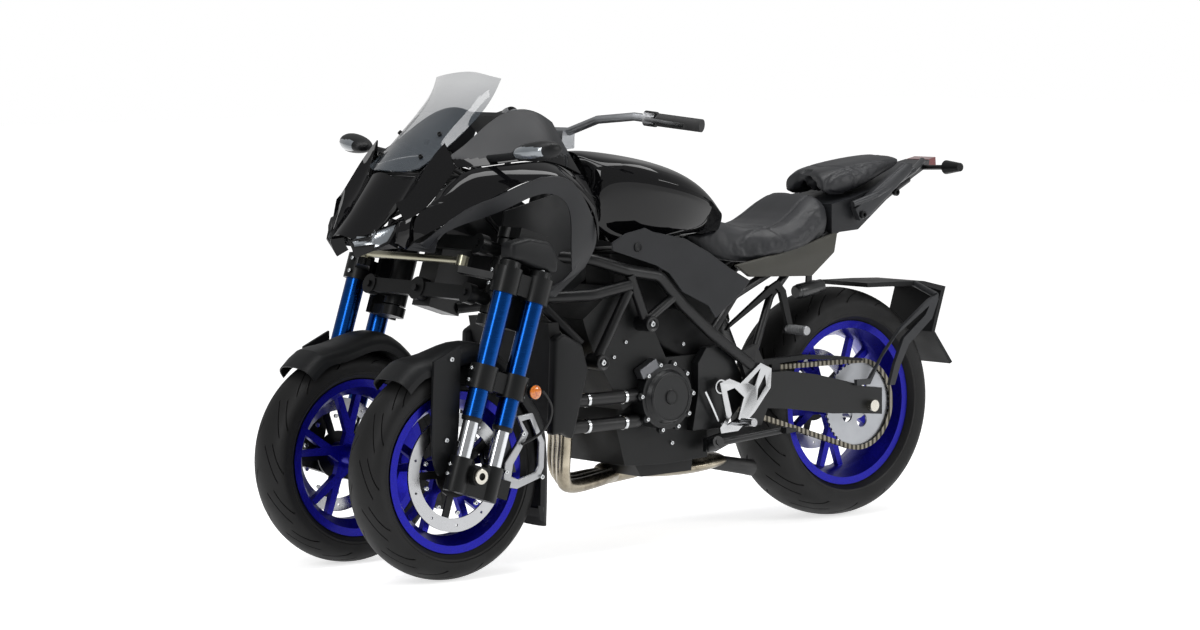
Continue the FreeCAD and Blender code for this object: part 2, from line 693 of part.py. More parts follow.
# Radiator shrouds
shroud_share = [(1.217, 0.768), (1.089, 0.571), (1.078, 0.429), (1.089, 0.239), (0.972, 0.08),
     (1.019, 0.062), (1.148, 0.107), (1.272, 0.23), (1.263, 0.429), (1.256, 0.664)]
shroud = slab(outline_in_box(ENGINE_BOX, shroud_share), RADIATOR_HALF_WIDTH + CLEARANCE,
              RADIATOR_HALF_WIDTH + 34)
radiator_shrouds = both_sides(shroud)

# Exhaust: three headers sweep down and back under the engine into a flat muffler
HEADER_BEND = 52
headers = []
for number in (-1, 0, 1):
    side = number * HEADER_SPACING
    path = [vec(345, side, 520), vec(400, side, 490), vec(372, side, 196), vec(250, side * 0.6 - 30, 174),
            vec(150, side * 0.25 - 62, 174)]
    headers.append(bent_rod(path, HEADER_BEND, HEADER_RADIUS))
collector = cone(vec(165, -62, 174), vec(60, -62, 178), 38, 28)
link_pipe = rod(vec(70, -62, 178), vec(-90, -62, 188), 27)
exhaust_pipes = fuse(headers + [collector, link_pipe]).cut(engine_block)
muffler_share = [(0.222, -0.036), (-0.019, -0.039), (-0.259, -0.018), (-0.259, 0.071),
     (-0.019, 0.093), (0.111, 0.075), (0.222, 0.057)]
muffler_body = slab(outline_in_box(ENGINE_BOX, muffler_share), -105, 90)
outlet = rod(vec(-300, -72, 185), vec(-350, -90, 172), 28)
muffler = fuse([muffler_body, outlet])
exhaust_pipes = trimmed(exhaust_pipes, muffler)

# Fairing panels, as grids of points on their outer faces, left side
nose_share = [
    [(0.792, 0, 0.569), (0.786, 0.157, 0.547), (0.72, 0.383, 0.572),
     (0.626, 0.567, 0.586)],
    [(0.867, 0, 0.469), (0.856, 0.15, 0.448), (0.792, 0.373, 0.469), (0.7, 0.55, 0.486)],
    [(0.929, 0, 0.384), (0.918, 0.14, 0.366), (0.855, 0.373, 0.383),
     (0.773, 0.533, 0.405)],
    [(0.991, 0, 0.307), (0.982, 0.127, 0.29), (0.917, 0.327, 0.324), (0.848, 0.5, 0.367)]]
nose_half = grid_in_box(FAIRING_BOX, nose_share)
nose_grid = [[vec(p.x, -p.y, p.z) for p in reversed(row[1:])] + row for row in nose_half]
side_share = [
    [(0.7, 0.55, 0.486), (0.606, 0.65, 0.572), (0.485, 0.74, 0.595), (0.348, 0.8, 0.607),
     (0.209, 0.8, 0.586), (0.083, 0.783, 0.534)],
    [(0.758, 0.55, 0.422), (0.652, 0.717, 0.509), (0.508, 0.85, 0.552),
     (0.356, 0.927, 0.572), (0.197, 0.917, 0.543), (0.061, 0.867, 0.431)],
    [(0.811, 0.527, 0.371), (0.697, 0.683, 0.405), (0.53, 0.873, 0.491),
     (0.371, 0.977, 0.543), (0.189, 0.973, 0.509), (0.045, 0.893, 0.31)],
    [(0.815, 0.527, 0.279), (0.732, 0.65, 0.336), (0.568, 0.85, 0.452),
     (0.394, 0.973, 0.534), (0.182, 0.967, 0.486), (0.042, 0.873, 0.241)]]
trim_share = [
    [(0.815, 0.533, 0.272), (0.732, 0.657, 0.333), (0.568, 0.857, 0.448),
     (0.394, 0.977, 0.531), (0.242, 1, 0.534), (0.167, 0.967, 0.476), (0.082, 0.9, 0.362),
     (0.03, 0.833, 0.247), (0.061, 0.8, 0.15), (0.217, 0.767, 0.005)],
    [(0.841, 0.5, 0.241), (0.739, 0.6, 0.262), (0.568, 0.783, 0.371),
     (0.409, 0.917, 0.448), (0.288, 0.943, 0.469), (0.212, 0.927, 0.422),
     (0.182, 0.893, 0.278), (0.167, 0.853, 0.143), (0.182, 0.813, 0.078),
     (0.227, 0.773, 0.009)]]
nose_cowl = [panel(nose_grid, PANEL_WALL)]
side_panel = panel(grid_in_box(FAIRING_BOX, side_share), PANEL_WALL)
side_cowls = both_sides(side_panel)
trim = trimmed(panel(grid_in_box(FAIRING_BOX, trim_share), PANEL_WALL), side_panel)
arch_trims = both_sides(trim)
chin_share = [
    [(0.985, 0.127, 0.19), (0.917, 0.417, 0.259), (0.841, 0.5, 0.267)],
    [(0.962, 0.1, 0.147), (0.894, 0.383, 0.19), (0.811, 0.467, 0.216)]]

# Shoulders beside the screen
shoulder_share = [
    [(0.626, 0.5, 0.641), (0.5, 0.483, 0.724), (0.348, 0.467, 0.819),
     (0.22, 0.483, 0.824), (0.129, 0.5, 0.767)],
    [(0.63, 0.55, 0.612), (0.508, 0.65, 0.638), (0.348, 0.717, 0.672),
     (0.205, 0.717, 0.664), (0.114, 0.7, 0.621)],
    [(0.626, 0.573, 0.59), (0.5, 0.74, 0.6), (0.348, 0.807, 0.614), (0.209, 0.807, 0.591),
     (0.091, 0.783, 0.54)]]
shoulder = panel(grid_in_box(FAIRING_BOX, shoulder_share), PANEL_WALL)
side_cowls = side_cowls + both_sides(shoulder)

# Screen
screen_share = [
    [(0.355, 0, 0.993), (0.367, 0.2, 0.986), (0.364, 0.45, 0.966)],
    [(0.485, 0, 0.862), (0.485, 0.233, 0.853), (0.424, 0.427, 0.845)],
    [(0.652, 0, 0.716), (0.645, 0.217, 0.698), (0.598, 0.4, 0.681)],
    [(0.792, 0, 0.576), (0.773, 0.167, 0.572), (0.727, 0.35, 0.586)]]
screen_half = grid_in_box(FAIRING_BOX, screen_share)
screen_grid = [[vec(p.x, -p.y, p.z) for p in reversed(row[1:])] + row for row in screen_half]
windscreen = panel(screen_grid, SCREEN_WALL)

# Headlamps
LAMP_DEPTH = 34
lamp_share = [
    [(0.988, 0.133, 0.279), (0.861, 0.487, 0.359)],
    [(0.976, 0.14, 0.241), (0.886, 0.473, 0.314)],
    [(0.958, 0.133, 0.203), (0.906, 0.447, 0.269)]]
headlamp = trimmed(panel(grid_in_box(FAIRING_BOX, lamp_share), LAMP_DEPTH), nose_cowl[0])
headlamps = [headlamp, trimmed(flip(headlamp), nose_cowl[0])]

# Instruments
panel_outline = [(470, 1090), (500, 1088), (560, 1150), (545, 1160)]
instrument_panel = slab(panel_outline, -90, 90)

# Mirrors with their lamp housings
mirror_stalk = rod(vec(700, 192, 1050), vec(690, 330, 1062), 10)
mirror_ball = fuse([mirror_stalk, loft([[vec(735, 320, 1045), vec(735, 320, 1090), vec(660, 330, 1110), vec(660, 330, 1045)],
                                        [vec(700, 440, 1050), vec(700, 440, 1090), vec(650, 450, 1105), vec(650, 450, 1050)]], True)])
mirrors = both_sides(trimmed(mirror_ball, shoulder))

# Frame: side tubes, braces, steering head, front casting for the arms and swingarm plates
upper_share = [(0.985, 0.368, 0.952), (0.824, 0.789, 0.917), (0.676, 0.937, 0.838),
     (0.519, 0.926, 0.795), (0.397, 0.926, 0.595), (0.25, 0.926, 0.405),
     (0.05, 0.947, 0.179)]
lower_share = [(1.029, 0.579, 0.69), (0.834, 0.868, 0.7), (0.669, 0.947, 0.75)]
strut_share = [(0.669, 0.947, 0.81), (0.588, 0.937, 0.512)]
brace_share = [(0.675, 0.947, 0.714), (0.838, 0.947, 0.3)]
cross_share = [(0.435, 0.926, 0.662), (0.581, 0.937, 0.524)]
hanger_share = [(1.029, 0.579, 0.662), (0.917, 0.95, 0.4)]


WELD_SHARE = 1.04


def tube_run(shares, radius):
    points = line_in_box(FRAME_BOX, shares)
    return [bent_rod(points, FRAME_BEND, radius) if len(points) > 2 else rod(points[0], points[1], radius)]


left_tubes = []
left_tubes += tube_run(upper_share, FRAME_TUBE_RADIUS)
left_tubes += tube_run(lower_share, FRAME_TUBE_RADIUS)
left_tubes += tube_run(strut_share, FRAME_BRACE_RADIUS)
left_tubes += tube_run(brace_share, FRAME_BRACE_RADIUS)
left_tubes += tube_run(cross_share, FRAME_BRACE_RADIUS)
left_tubes += tube_run(hanger_share, FRAME_HANGER_RADIUS)
boss_share = [(0.584, 1, 0.5), (0.831, 1, 0.286)]
for point in line_in_box(FRAME_BOX, boss_share):
    left_tubes.append(cross_rod(point.x, point.z, ENGINE_HALF_WIDTH + CLEARANCE, point.y + 10, 21))
plate_share = [(0.118, 0.262), (0.022, 0.31), (-0.047, 0.095), (-0.047, -0.071), (-0.003, -0.214),
     (0.051, -0.214), (0.059, 0.024)]
left_tubes.append(slab(outline_in_box(FRAME_BOX, plate_share), SWINGARM_HALF_WIDTH + CLEARANCE,
                       SWINGARM_HALF_WIDTH + FRAME_PLATE_THICKNESS))
cover_inner_y = FRAME_HALF_WIDTH - 1
cover_seat = in_box(FRAME_BOX, upper_share[3]) + vec(-13, 0, 41)
left_tubes += [rod(in_box(FRAME_BOX, upper_share[3]), cover_seat, 6),
               cross_rod(cover_seat.x, cover_seat.z, cover_seat.y - 4, cover_inner_y - CLEARANCE, 9)]
front_lead = ARM_LEAD - ARM_THICKNESS / 2 - CLEARANCE
casting_low, casting_high = LOWER_ARM_HEIGHT - 40, UPPER_ARM_HEIGHT + 40
casting = king_block((-30, front_lead), (-36, 36), (casting_low, casting_high))
spine = []
for across in (-1, 1):
    spine.append(rod(king(-20, across * 30, casting_high - 30), in_box(FRAME_BOX, upper_share[0][:1] + (across * upper_share[0][1],) + upper_share[0][2:]), FRAME_TUBE_RADIUS))
    spine.append(rod(king(-20, across * 30, casting_low + 20), in_box(FRAME_BOX, lower_share[0][:1] + (across * lower_share[0][1],) + lower_share[0][2:]), FRAME_TUBE_RADIUS))
head_x, head_z = in_box(FRAME_BOX, upper_share[0]).x, in_box(FRAME_BOX, upper_share[0]).z
cross_bars = [cross_rod(head_x, head_z, -80, 80, FRAME_TUBE_RADIUS)]
low_head = in_box(FRAME_BOX, lower_share[0])
cross_bars.append(cross_rod(low_head.x, low_head.z, -115, 115, FRAME_TUBE_RADIUS))
mid = in_box(FRAME_BOX, upper_share[4])
cross_bars.append(cross_rod(mid.x, mid.z, -mid.y, mid.y, FRAME_BRACE_RADIUS))
radiator_posts = [rod(vec(low_head.x, side * 80, RADIATOR_HIGH_Z + CLEARANCE), vec(low_head.x, side * 80, low_head.z), 8)
                  for side in (-1, 1)]
pivot_tube = cross_rod(PIVOT_X, PIVOT_Z, -SWINGARM_HALF_WIDTH - 6, SWINGARM_HALF_WIDTH + 6, 12)
arm_pins = [lead_rod(front_lead - 5, ARM_LEAD + ARM_THICKNESS / 2 + 8, 0, height, ARM_PIN_RADIUS)
            for height in (LOWER_ARM_HEIGHT, UPPER_ARM_HEIGHT)]
STEM_RADIUS = 17
STEM_HOUSING_RADIUS = 30
STEM_LOW_DROP = 262


def stem(radius, low, high):
    """A rod on the handlebar's turning axis, by distances along it from the bar clamp."""
    foot = vec(STEM_X, 0, STEM_Z)
    along = vec(-rake_sin, 0, rake_cos)
    return rod(foot + along * low, foot + along * high, radius)


stem_housing = stem(STEM_HOUSING_RADIUS, -STEM_LOW_DROP, -30)
stem_bore = stem(STEM_RADIUS + CLEARANCE, -STEM_LOW_DROP - OVERRUN, 0)
stem_foot = vec(STEM_X + rake_sin * STEM_LOW_DROP, 0, STEM_Z - rake_cos * STEM_LOW_DROP)
stem_braces = [rod(stem_foot + vec(-4, side * 18, 12), vec(head_x, side * 60, head_z + 1), 12)
               for side in (-1, 1)]
seat_rail_share = [(0.25, 0.926, 0.405), (0.059, 0.642, 0.619), (-0.279, 0.553, 0.833),
     (-0.691, 0.447, 1.095), (-0.985, 0.316, 1.298)]
rail_brace_share = [(0.044, 0.926, 0.19), (-0.147, 0.589, 0.595), (-0.309, 0.547, 0.829)]
rails = tube_run(seat_rail_share, 12) + tube_run(rail_brace_share, 11)
rail_bars = []
for share in seat_rail_share[2:]:
    end = in_box(FRAME_BOX, share)
    rail_bars.append(cross_rod(end.x, end.z, -end.y, end.y, 10))

# Fairing stays: from the head out to the nose, side panels, screen and instruments
stay_share = [(0.963, 0.289, 0.964), (1.103, 0.326, 1.214), (1.162, 0.347, 1.429)]
stay_start, stay_elbow, stay_top = line_in_box(FRAME_BOX, stay_share)
stays = [rod(stay_start, stay_elbow, STAY_RADIUS), rod(stay_elbow, stay_top, STAY_RADIUS),
         Part.makeSphere(STAY_RADIUS * WELD_SHARE, stay_elbow),
         Part.makeSphere(STAY_RADIUS * WELD_SHARE, stay_top)]
stays += [rod(stay_top, vec(500, 66, 1088 - CLEARANCE), STAY_RADIUS)]
side_grid = grid_in_box(FAIRING_BOX, side_share)
lamp_grid = grid_in_box(FAIRING_BOX, lamp_share)
stays += grid_stay(stay_top, nose_grid, 1, 5, nose_cowl[0])
stays += grid_stay(stay_top, side_grid, 1, 2, side_panel)
stays += grid_stay(stay_top, screen_grid, 2, 3, windscreen)
lamp_back = [point - normal * LAMP_DEPTH for point, normal in zip(lamp_grid[1], grid_normals(lamp_grid)[1])]
lamp_normal = (grid_normals(lamp_grid)[1][0] + grid_normals(lamp_grid)[1][1]).normalize()
stays += padded_stay(stay_top, (lamp_back[0] + lamp_back[1]) * 0.5 + lamp_normal * 3, lamp_normal, headlamp)

# Stand bracket: a lug under the left plate with a boss on the stand's hinge
STAND_HINGE = vec(-60, 184, 262)
STAND_AXIS = vec(0.124, 0.934, 0.336).normalize()
STAND_PIN_RADIUS = 8
STAND_EYE_RADIUS = 17
STAND_EYE_LENGTH = 24
lug_share = [(-0.003, -0.186), (0.05, -0.2), (0.276, -0.271), (0.276, -0.352), (0.224, -0.357),
     (0.037, -0.252)]
lug = slab(outline_in_box(FRAME_BOX, lug_share), 160, 172)
boss = rod(STAND_HINGE - STAND_AXIS * 24, STAND_HINGE, STAND_EYE_RADIUS)
stand_pin = rod(STAND_HINGE - STAND_AXIS * 10, STAND_HINGE + STAND_AXIS * (STAND_EYE_LENGTH + 3), STAND_PIN_RADIUS)
left_frame = fuse(left_tubes + rails + stays)
stand_side = fuse([left_frame, lug, boss, stand_pin])
main_frame = fuse([stand_side, flip(left_frame)] + cross_bars)
for group in (rail_bars, [pivot_tube, stem_housing], stem_braces, spine, [casting], arm_pins, radiator_posts):
    main_frame = fuse([main_frame] + group)
main_frame = main_frame.cut(stem_bore)

# Swingarm: boxed arms that taper to the axle, joined behind the pivot
arm_share = [(0.024, 0.06), (-0.074, 0.114), (-0.166, 0.114), (-0.319, 0.074), (-0.485, 0.01),
     (-0.603, -0.043), (-0.682, -0.057), (-0.688, -0.233), (-0.544, -0.21),
     (-0.409, -0.195), (-0.165, -0.133), (-0.024, -0.11), (0.029, -0.052)]
arm_outline = outline_in_box(FRAME_BOX, arm_share)
arm_outline = [(rear_axle_x - 45 if x < rear_axle_x - 40 else x, z) for x, z in arm_outline]
swing_inner = SWINGARM_HALF_WIDTH - SWINGARM_THICKNESS
left_arm = slab(arm_outline, swing_inner, SWINGARM_HALF_WIDTH)
axle_bore = cross_rod(rear_axle_x, rear_axle_z, -200, 200, AXLE_RADIUS + CLEARANCE)
pivot_bore = cross_rod(PIVOT_X, PIVOT_Z, -200, 200, 12 + RUNNING_CLEARANCE)
cross_tube = cross_rod(PIVOT_X - 78, PIVOT_Z - 2, -swing_inner - 4, swing_inner + 4, 24)
swingarm = fuse(both_sides(left_arm) + [cross_tube])
swingarm = swingarm.cut(axle_bore).cut(pivot_bore)
nut_face = SWINGARM_HALF_WIDTH + CLEARANCE
rear_axle = fuse([cross_rod(rear_axle_x, rear_axle_z, -nut_face, nut_face, AXLE_RADIUS)]
                 + both_sides(cross_rod(rear_axle_x, rear_axle_z, nut_face, nut_face + AXLE_NUT_LENGTH,
                                        AXLE_NUT_RADIUS)))

# Chain guard on the left arm
guard_share = [(-0.029, 0.19), (-0.294, 0.202), (-0.485, 0.171), (-0.603, 0.143), (-0.603, 0.126),
     (-0.485, 0.148), (-0.294, 0.171), (-0.029, 0.155)]
arm_top_z = in_box(FRAME_BOX, (0, 0, 0.114)).z
guard_outer = SWINGARM_HALF_WIDTH - SWINGARM_THICKNESS / 2
guard_tab = slab([(-330, arm_top_z + CLEARANCE), (-300, arm_top_z + CLEARANCE), (-300, 466), (-330, 466)],
                 guard_outer - 12, guard_outer)
chain_guard = fuse([slab(outline_in_box(FRAME_BOX, guard_share), CHAIN_LINE_Y + CHAIN_WIDTH / 2 + 4,
                         guard_outer), guard_tab])

# Rear shock
shock_low, shock_high = vec(PIVOT_X - 78, 0, PIVOT_Z + 10), vec(PIVOT_X + 40, 0, PIVOT_Z + 260)
rear_shock = fuse([rod(shock_low, shock_high, 14), rod(shock_low + (shock_high - shock_low) * 0.25,
                                                         shock_low + (shock_high - shock_low) * 0.85, 32)])
rear_shock = rear_shock.cut(swingarm).cut(main_frame)

# Fuel tank: smooth sections from the nose of the tank to the seat
TANK_STATIONS_SHARE = [
    (1, 0.50, 0.55, 0.72, 0.975), (0.86, 0.34, 0.80, 0.86, 0.975), (0.62, 0.34, 0.98, 0.80, 0.93),
    (0.42, 0.36, 0.96, 0.72, 0.87), (0.22, 0.36, 0.78, 0.62, 0.76), (0.06, 0.36, 0.56, 0.50, 0.58)]
sections = []
for x, floor, wide, waist, top in TANK_STATIONS_SHARE:
    half = [(0, top), (wide * 0.55, top - 0.04), (wide, waist), (wide * 0.97, (waist + floor) / 2),
            (wide * 0.82, floor), (wide * 0.4, floor), (0, floor)]
    ring = [(-y, z) for y, z in reversed(half)] + half[1:-1]
    sections.append([in_box(TANK_BOX, (x, y, z)) for y, z in ring])
fuel_tank = skinned(sections)

# Side covers below the tank
cover_share = [(0.776, 1.019), (0.704, 1.074), (0.607, 1.102), (0.568, 1.074), (0.404, 1.019),
     (0.282, 0.924), (0.171, 0.812), (0.066, 0.724), (0.118, 0.643), (0.25, 0.5),
     (0.287, 0.583), (0.419, 0.683), (0.485, 0.805), (0.553, 0.862), (0.769, 0.971)]
side_cover = slab(outline_in_box(FRAME_BOX, cover_share), cover_inner_y, cover_inner_y + 6)
tank_side_covers = both_sides(side_cover)

# Seats: crowned cushions from smooth sections
RIDER_STATIONS = [(0.893, 0.365, 0.722), (0.814, 0.529, 0.704), (0.686, 0.676, 0.6),
     (0.543, 0.882, 0.548), (0.429, 0.941, 0.617), (0.329, 0.882, 0.826),
     (0.229, 0.706, 0.891)]
RIDER_FLOOR = [(0.893, 0.294, 0.435), (0.814, 0.471, 0.304), (0.686, 0.647, 0.196),
     (0.543, 0.824, 0.196), (0.429, 0.882, 0.261), (0.329, 0.824, 0.348),
     (0.229, 0.676, 0.435)]


def cushion(tops, floors):
    sections = []
    for top, floor in zip(tops, floors):
        crown = [(0, top[2]), (top[1] * 0.7, top[2] - 0.02), (top[1], (top[2] * 2 + floor[2]) / 3 - 0.02),
                 (floor[1], floor[2]), (floor[1] * 0.5, floor[2]), (0, floor[2])]
        ring = [(-y, z) for y, z in reversed(crown)] + crown[1:-1]
        sections.append([in_box(SEAT_BOX, (top[0], y, z)) for y, z in ring])
    return skinned(sections)


rider_seat = cushion(RIDER_STATIONS, RIDER_FLOOR).cut(fuel_tank).removeSplitter().cut(main_frame)
PILLION_STATIONS = [(0.206, 0.471, 1.139), (0.114, 0.618, 1.196), (0.02, 0.647, 1.243),
     (-0.113, 0.588, 1.296), (-0.229, 0.471, 1.322)]
PILLION_FLOOR = [(0.217, 0.529, 0.935), (0.114, 0.588, 0.922), (0.02, 0.612, 0.978),
     (-0.113, 0.541, 1.087), (-0.229, 0.424, 1.183)]
passenger_seat = cushion(PILLION_STATIONS, PILLION_FLOOR)

# Tail cowl below the seats
tail_upper = [(0.992, 0.787, 0.435), (0.82, 0.773, 0.5), (0.58, 0.667, 0.63), (0.34, 0.533, 0.761),
     (0.1, 0.32, 0.891)]
tail_lower = [(0.992, 0.787, 0.087), (0.774, 0.72, 0.109), (0.508, 0.547, 0.435),
     (0.27, 0.413, 0.674), (0.09, 0.267, 0.817)]
sections = [[in_box(TAIL_BOX, a), in_box(TAIL_BOX, (a[0], -a[1], a[2])),
             in_box(TAIL_BOX, (b[0], -b[1], b[2])), in_box(TAIL_BOX, b)]
            for a, b in zip(tail_upper, tail_lower)]
tail_cowl = loft(sections, True).cut(passenger_seat).cut(rider_seat).cut(main_frame)

# Grab rails, lamps and rear mudguard
grab_share = [(0.872, 0.92, 0.426), (0.704, 0.947, 0.522), (0.53, 0.867, 0.652),
     (0.34, 0.707, 0.791), (0.2, 0.467, 0.891)]
points = line_in_box(TAIL_BOX, grab_share)
lugs = [rod(points[i], vec(points[i].x, 20, points[i].z - 14), 8) for i in (1, 3)]
grab_rail = fuse([rod(a, b, 9) for a, b in zip(points, points[1:])]
                 + [Part.makeSphere(9 * WELD_SHARE, p) for p in points[1:-1]] + lugs)
grab_rails = both_sides(grab_rail.cut(tail_cowl).cut(passenger_seat).Solids[0])
tail_lamp = slab([(-1000, 960), (-1000, 986), (-1030, 992), (-1032, 962)], -42, 42).cut(tail_cowl)
stalks = both_sides(rod(vec(-975, 46, 964), vec(-968, 150, 968), 7).cut(tail_cowl))
pods = both_sides(cone(vec(-968, 148, 968), vec(-966, 205, 970), 20, 12))
rear_lamps = [tail_lamp] + both_sides(fuse([stalks[0], pods[0]]).cut(grab_rails[0]).Solids[0])
mudguard_arm_share = [(1, -0.015), (0.891, -0.015), (0.761, 0.269), (0.63, 0.5), (0.391, 0.777),
     (0.315, 0.835), (0.315, 0.769), (0.37, 0.569), (0.565, 0.315), (0.637, 0.096),
     (0.685, -0.108), (0.728, -0.108), (0.685, 0.115), (0.609, 0.385), (0.424, 0.615),
     (0.391, 0.712), (0.663, 0.431), (0.789, 0.2), (0.891, -0.077), (1, -0.077)]
REAR_BOX = (rear_axle_x - 398, PIVOT_Z + 10, 460, 175, 260)
mudguard_arm = slab(outline_in_box(REAR_BOX, mudguard_arm_share), SWINGARM_HALF_WIDTH + CLEARANCE, SWINGARM_HALF_WIDTH + 12)
flap_share = [(0.735, 0.923), (0.735, 0.969), (0.478, 0.962), (0.257, 0.946), (0.07, 0.869),
     (0.163, 0.385), (0.011, 0.031), (0.033, 0.015), (0.191, 0.385), (0.109, 0.827),
     (0.257, 0.9)]
flap = slab(outline_in_box(REAR_BOX, flap_share), -95, 95)
carrier = rod(vec(-900, 86, 641), vec(-900, SWINGARM_HALF_WIDTH + 6, 612), 9)
rear_mudguard = [fuse([mudguard_arm, carrier, flap])]

# Foot controls and pegs
rearset_share = [(0.006, 0.19), (-0.041, 0.148), (-0.029, 0.043), (0.088, 0.133), (0.146, -0.029),
     (0.199, -0.202), (0.174, -0.286), (0.25, -0.214), (0.257, 0.083), (0.143, 0.1)]
rearset_share = [(0.012, 0.19), (-0.047, 0.148), (-0.041, 0.024), (0.044, -0.124), (0.132, -0.233),
     (0.221, -0.238), (0.226, -0.202), (0.191, -0.143), (0.226, 0.083), (0.176, 0.107),
     (0.118, 0.071)]
plate_outer = SWINGARM_HALF_WIDTH + FRAME_PLATE_THICKNESS
rearset = slab(outline_in_box(FRAME_BOX, rearset_share), plate_outer + CLEARANCE, plate_outer + 8)
peg = rod(vec(-130, plate_outer + 4, 318), vec(-130, SWINGARM_HALF_WIDTH + 100, 322), 11)
foot_controls = both_sides(fuse([rearset, peg]))
pillion_share = [(0.118, 0.4), (-0.129, 0.619), (-0.147, 0.648), (-0.169, 0.619), (-0.209, 0.405),
     (-0.191, 0.35), (-0.221, 0.348), (-0.238, 0.395), (-0.2, 0.631), (-0.162, 0.695),
     (-0.118, 0.662), (0.096, 0.44)]
pillion_bracket = slab(outline_in_box(FRAME_BOX, pillion_share), 124, 136)
pillion_bracket = pillion_bracket.fuse(cross_rod(-330, 655, 100, 130, 12)).cut(main_frame)
pillion_peg = rod(vec(-372, 130, 548), vec(-372, 215, 548), 11)
passenger_footpegs = both_sides(fuse([pillion_bracket, pillion_peg]))

# Forks, left side; the right side is its mirror image
fork_y = half_track + FORK_TUBE_OFFSET
clamp_radius = FORK_OUTER_RADIUS + FORK_CLAMP_WALL
fork_leads = (FORK_FRONT_LEAD, -FORK_REAR_TRAIL)
fork_tubes = [king_rod(lead, fork_y, FORK_SEAL, FORK_TOP, FORK_OUTER_RADIUS) for lead in fork_leads]
fork_legs = [king_rod(lead, fork_y, FORK_FOOT, FORK_SEAL - CLEARANCE, FORK_INNER_RADIUS) for lead in fork_leads]


def clamp_pair(low, high, bore):
    rings = [king_rod(lead, fork_y, low, high, clamp_radius) for lead in fork_leads]
    bridge = king_block((-FORK_REAR_TRAIL, FORK_FRONT_LEAD), (fork_y - 12, fork_y + 12), (low + 6, high - 6))
    return rings + [bridge]


def tube_cuts(low, high, radius):
    return [king_rod(lead, fork_y, low - OVERRUN, high + OVERRUN, radius) for lead in fork_leads]


WEB_INNER = 60
WEB_THICKNESS = 16
WEB_REAR = -60
WEB_FRONT = 30
yoke_low = POST_LOW - YOKE_GAP - YOKE_THICKNESS
yoke_high = POST_HIGH + YOKE_GAP + YOKE_THICKNESS
knuckle = clamp_pair(UPPER_CLAMP_LOW, UPPER_CLAMP_HIGH, FORK_OUTER_RADIUS)
knuckle.append(king_block((WEB_REAR, WEB_FRONT), (half_track + WEB_INNER, half_track + WEB_INNER + WEB_THICKNESS),
                          (yoke_low, yoke_high)))
for low in (yoke_low, yoke_high - YOKE_THICKNESS):
    knuckle.append(king_rod(0, half_track, low, low + YOKE_THICKNESS, KINGPIN_RADIUS + 18))
    knuckle.append(king_block((-26, 22), (half_track, half_track + WEB_INNER + 4), (low, low + YOKE_THICKNESS)))
steer_low = TIE_ROD_HEIGHT - 56
knuckle.append(loft([[king(50, fork_y - 30, steer_low), king(90, fork_y - 20, steer_low), king(TIE_ROD_LEAD + 14, half_track + 8, steer_low), king(TIE_ROD_LEAD - 12, half_track - 12, steer_low)],
                     [king(50, fork_y - 30, steer_low + 18), king(90, fork_y - 20, steer_low + 18), king(TIE_ROD_LEAD + 14, half_track + 8, steer_low + 18), king(TIE_ROD_LEAD - 12, half_track - 12, steer_low + 18)]], True))
tie_low = steer_low + 18 + CLEARANCE
tie_pin = king_rod(TIE_ROD_LEAD, half_track, steer_low, tie_low + 26, TIE_PIN_RADIUS)
knuckle.append(tie_pin)
knuckle_cuts = tube_cuts(UPPER_CLAMP_LOW, UPPER_CLAMP_HIGH, FORK_OUTER_RADIUS + CLEARANCE)
knuckle_cuts.append(king_rod(0, half_track, yoke_low - OVERRUN, yoke_high + OVERRUN, KINGPIN_RADIUS + CLEARANCE))
knuckle = fuse(knuckle).cut(Part.makeCompound(knuckle_cuts))
middle_clamp = fuse(clamp_pair(MIDDLE_CLAMP_LOW, MIDDLE_CLAMP_HIGH, FORK_OUTER_RADIUS))
middle_clamp = middle_clamp.cut(Part.makeCompound(tube_cuts(MIDDLE_CLAMP_LOW, MIDDLE_CLAMP_HIGH, FORK_OUTER_RADIUS + CLEARANCE)))
foot = [king_rod(lead, fork_y, AXLE_BRACKET_LOW, AXLE_BRACKET_HIGH, FORK_INNER_RADIUS + 8) for lead in fork_leads]
foot.append(king_block((-FORK_REAR_TRAIL, FORK_FRONT_LEAD), (fork_y - 20, fork_y + 20), (AXLE_BRACKET_LOW, AXLE_BRACKET_HIGH - 10)))
foot.append(cross_rod(FRONT_AXLE_X, front_axle_z, fork_y - 28, fork_y + 42, 24))
foot.append(king_block((-112, -FORK_REAR_TRAIL), (fork_y - 19 + CLEARANCE, fork_y - 6), (-34, 14)))
axle_inner = half_track + FRONT_HUB_HALF + DISC_THICKNESS + CLEARANCE
foot.append(cross_rod(FRONT_AXLE_X, front_axle_z, axle_inner, fork_y, 19))
foot.append(cross_rod(FRONT_AXLE_X, front_axle_z, half_track - FRONT_HUB_HALF - 4, fork_y, AXLE_RADIUS))
foot = fuse(foot).cut(Part.makeCompound([king_rod(lead, fork_y, FORK_FOOT - CLEARANCE, AXLE_BRACKET_HIGH + OVERRUN, FORK_INNER_RADIUS + CLEARANCE) for lead in fork_leads]))
fork_castings = [knuckle, middle_clamp, foot]

# Calipers and their silver stays
CALIPER_REACH_SHARE = 1.14
CALIPER_ROOT_SHARE = 0.66
CALIPER_DEPTH = 18
CALIPER_SPAN = 36


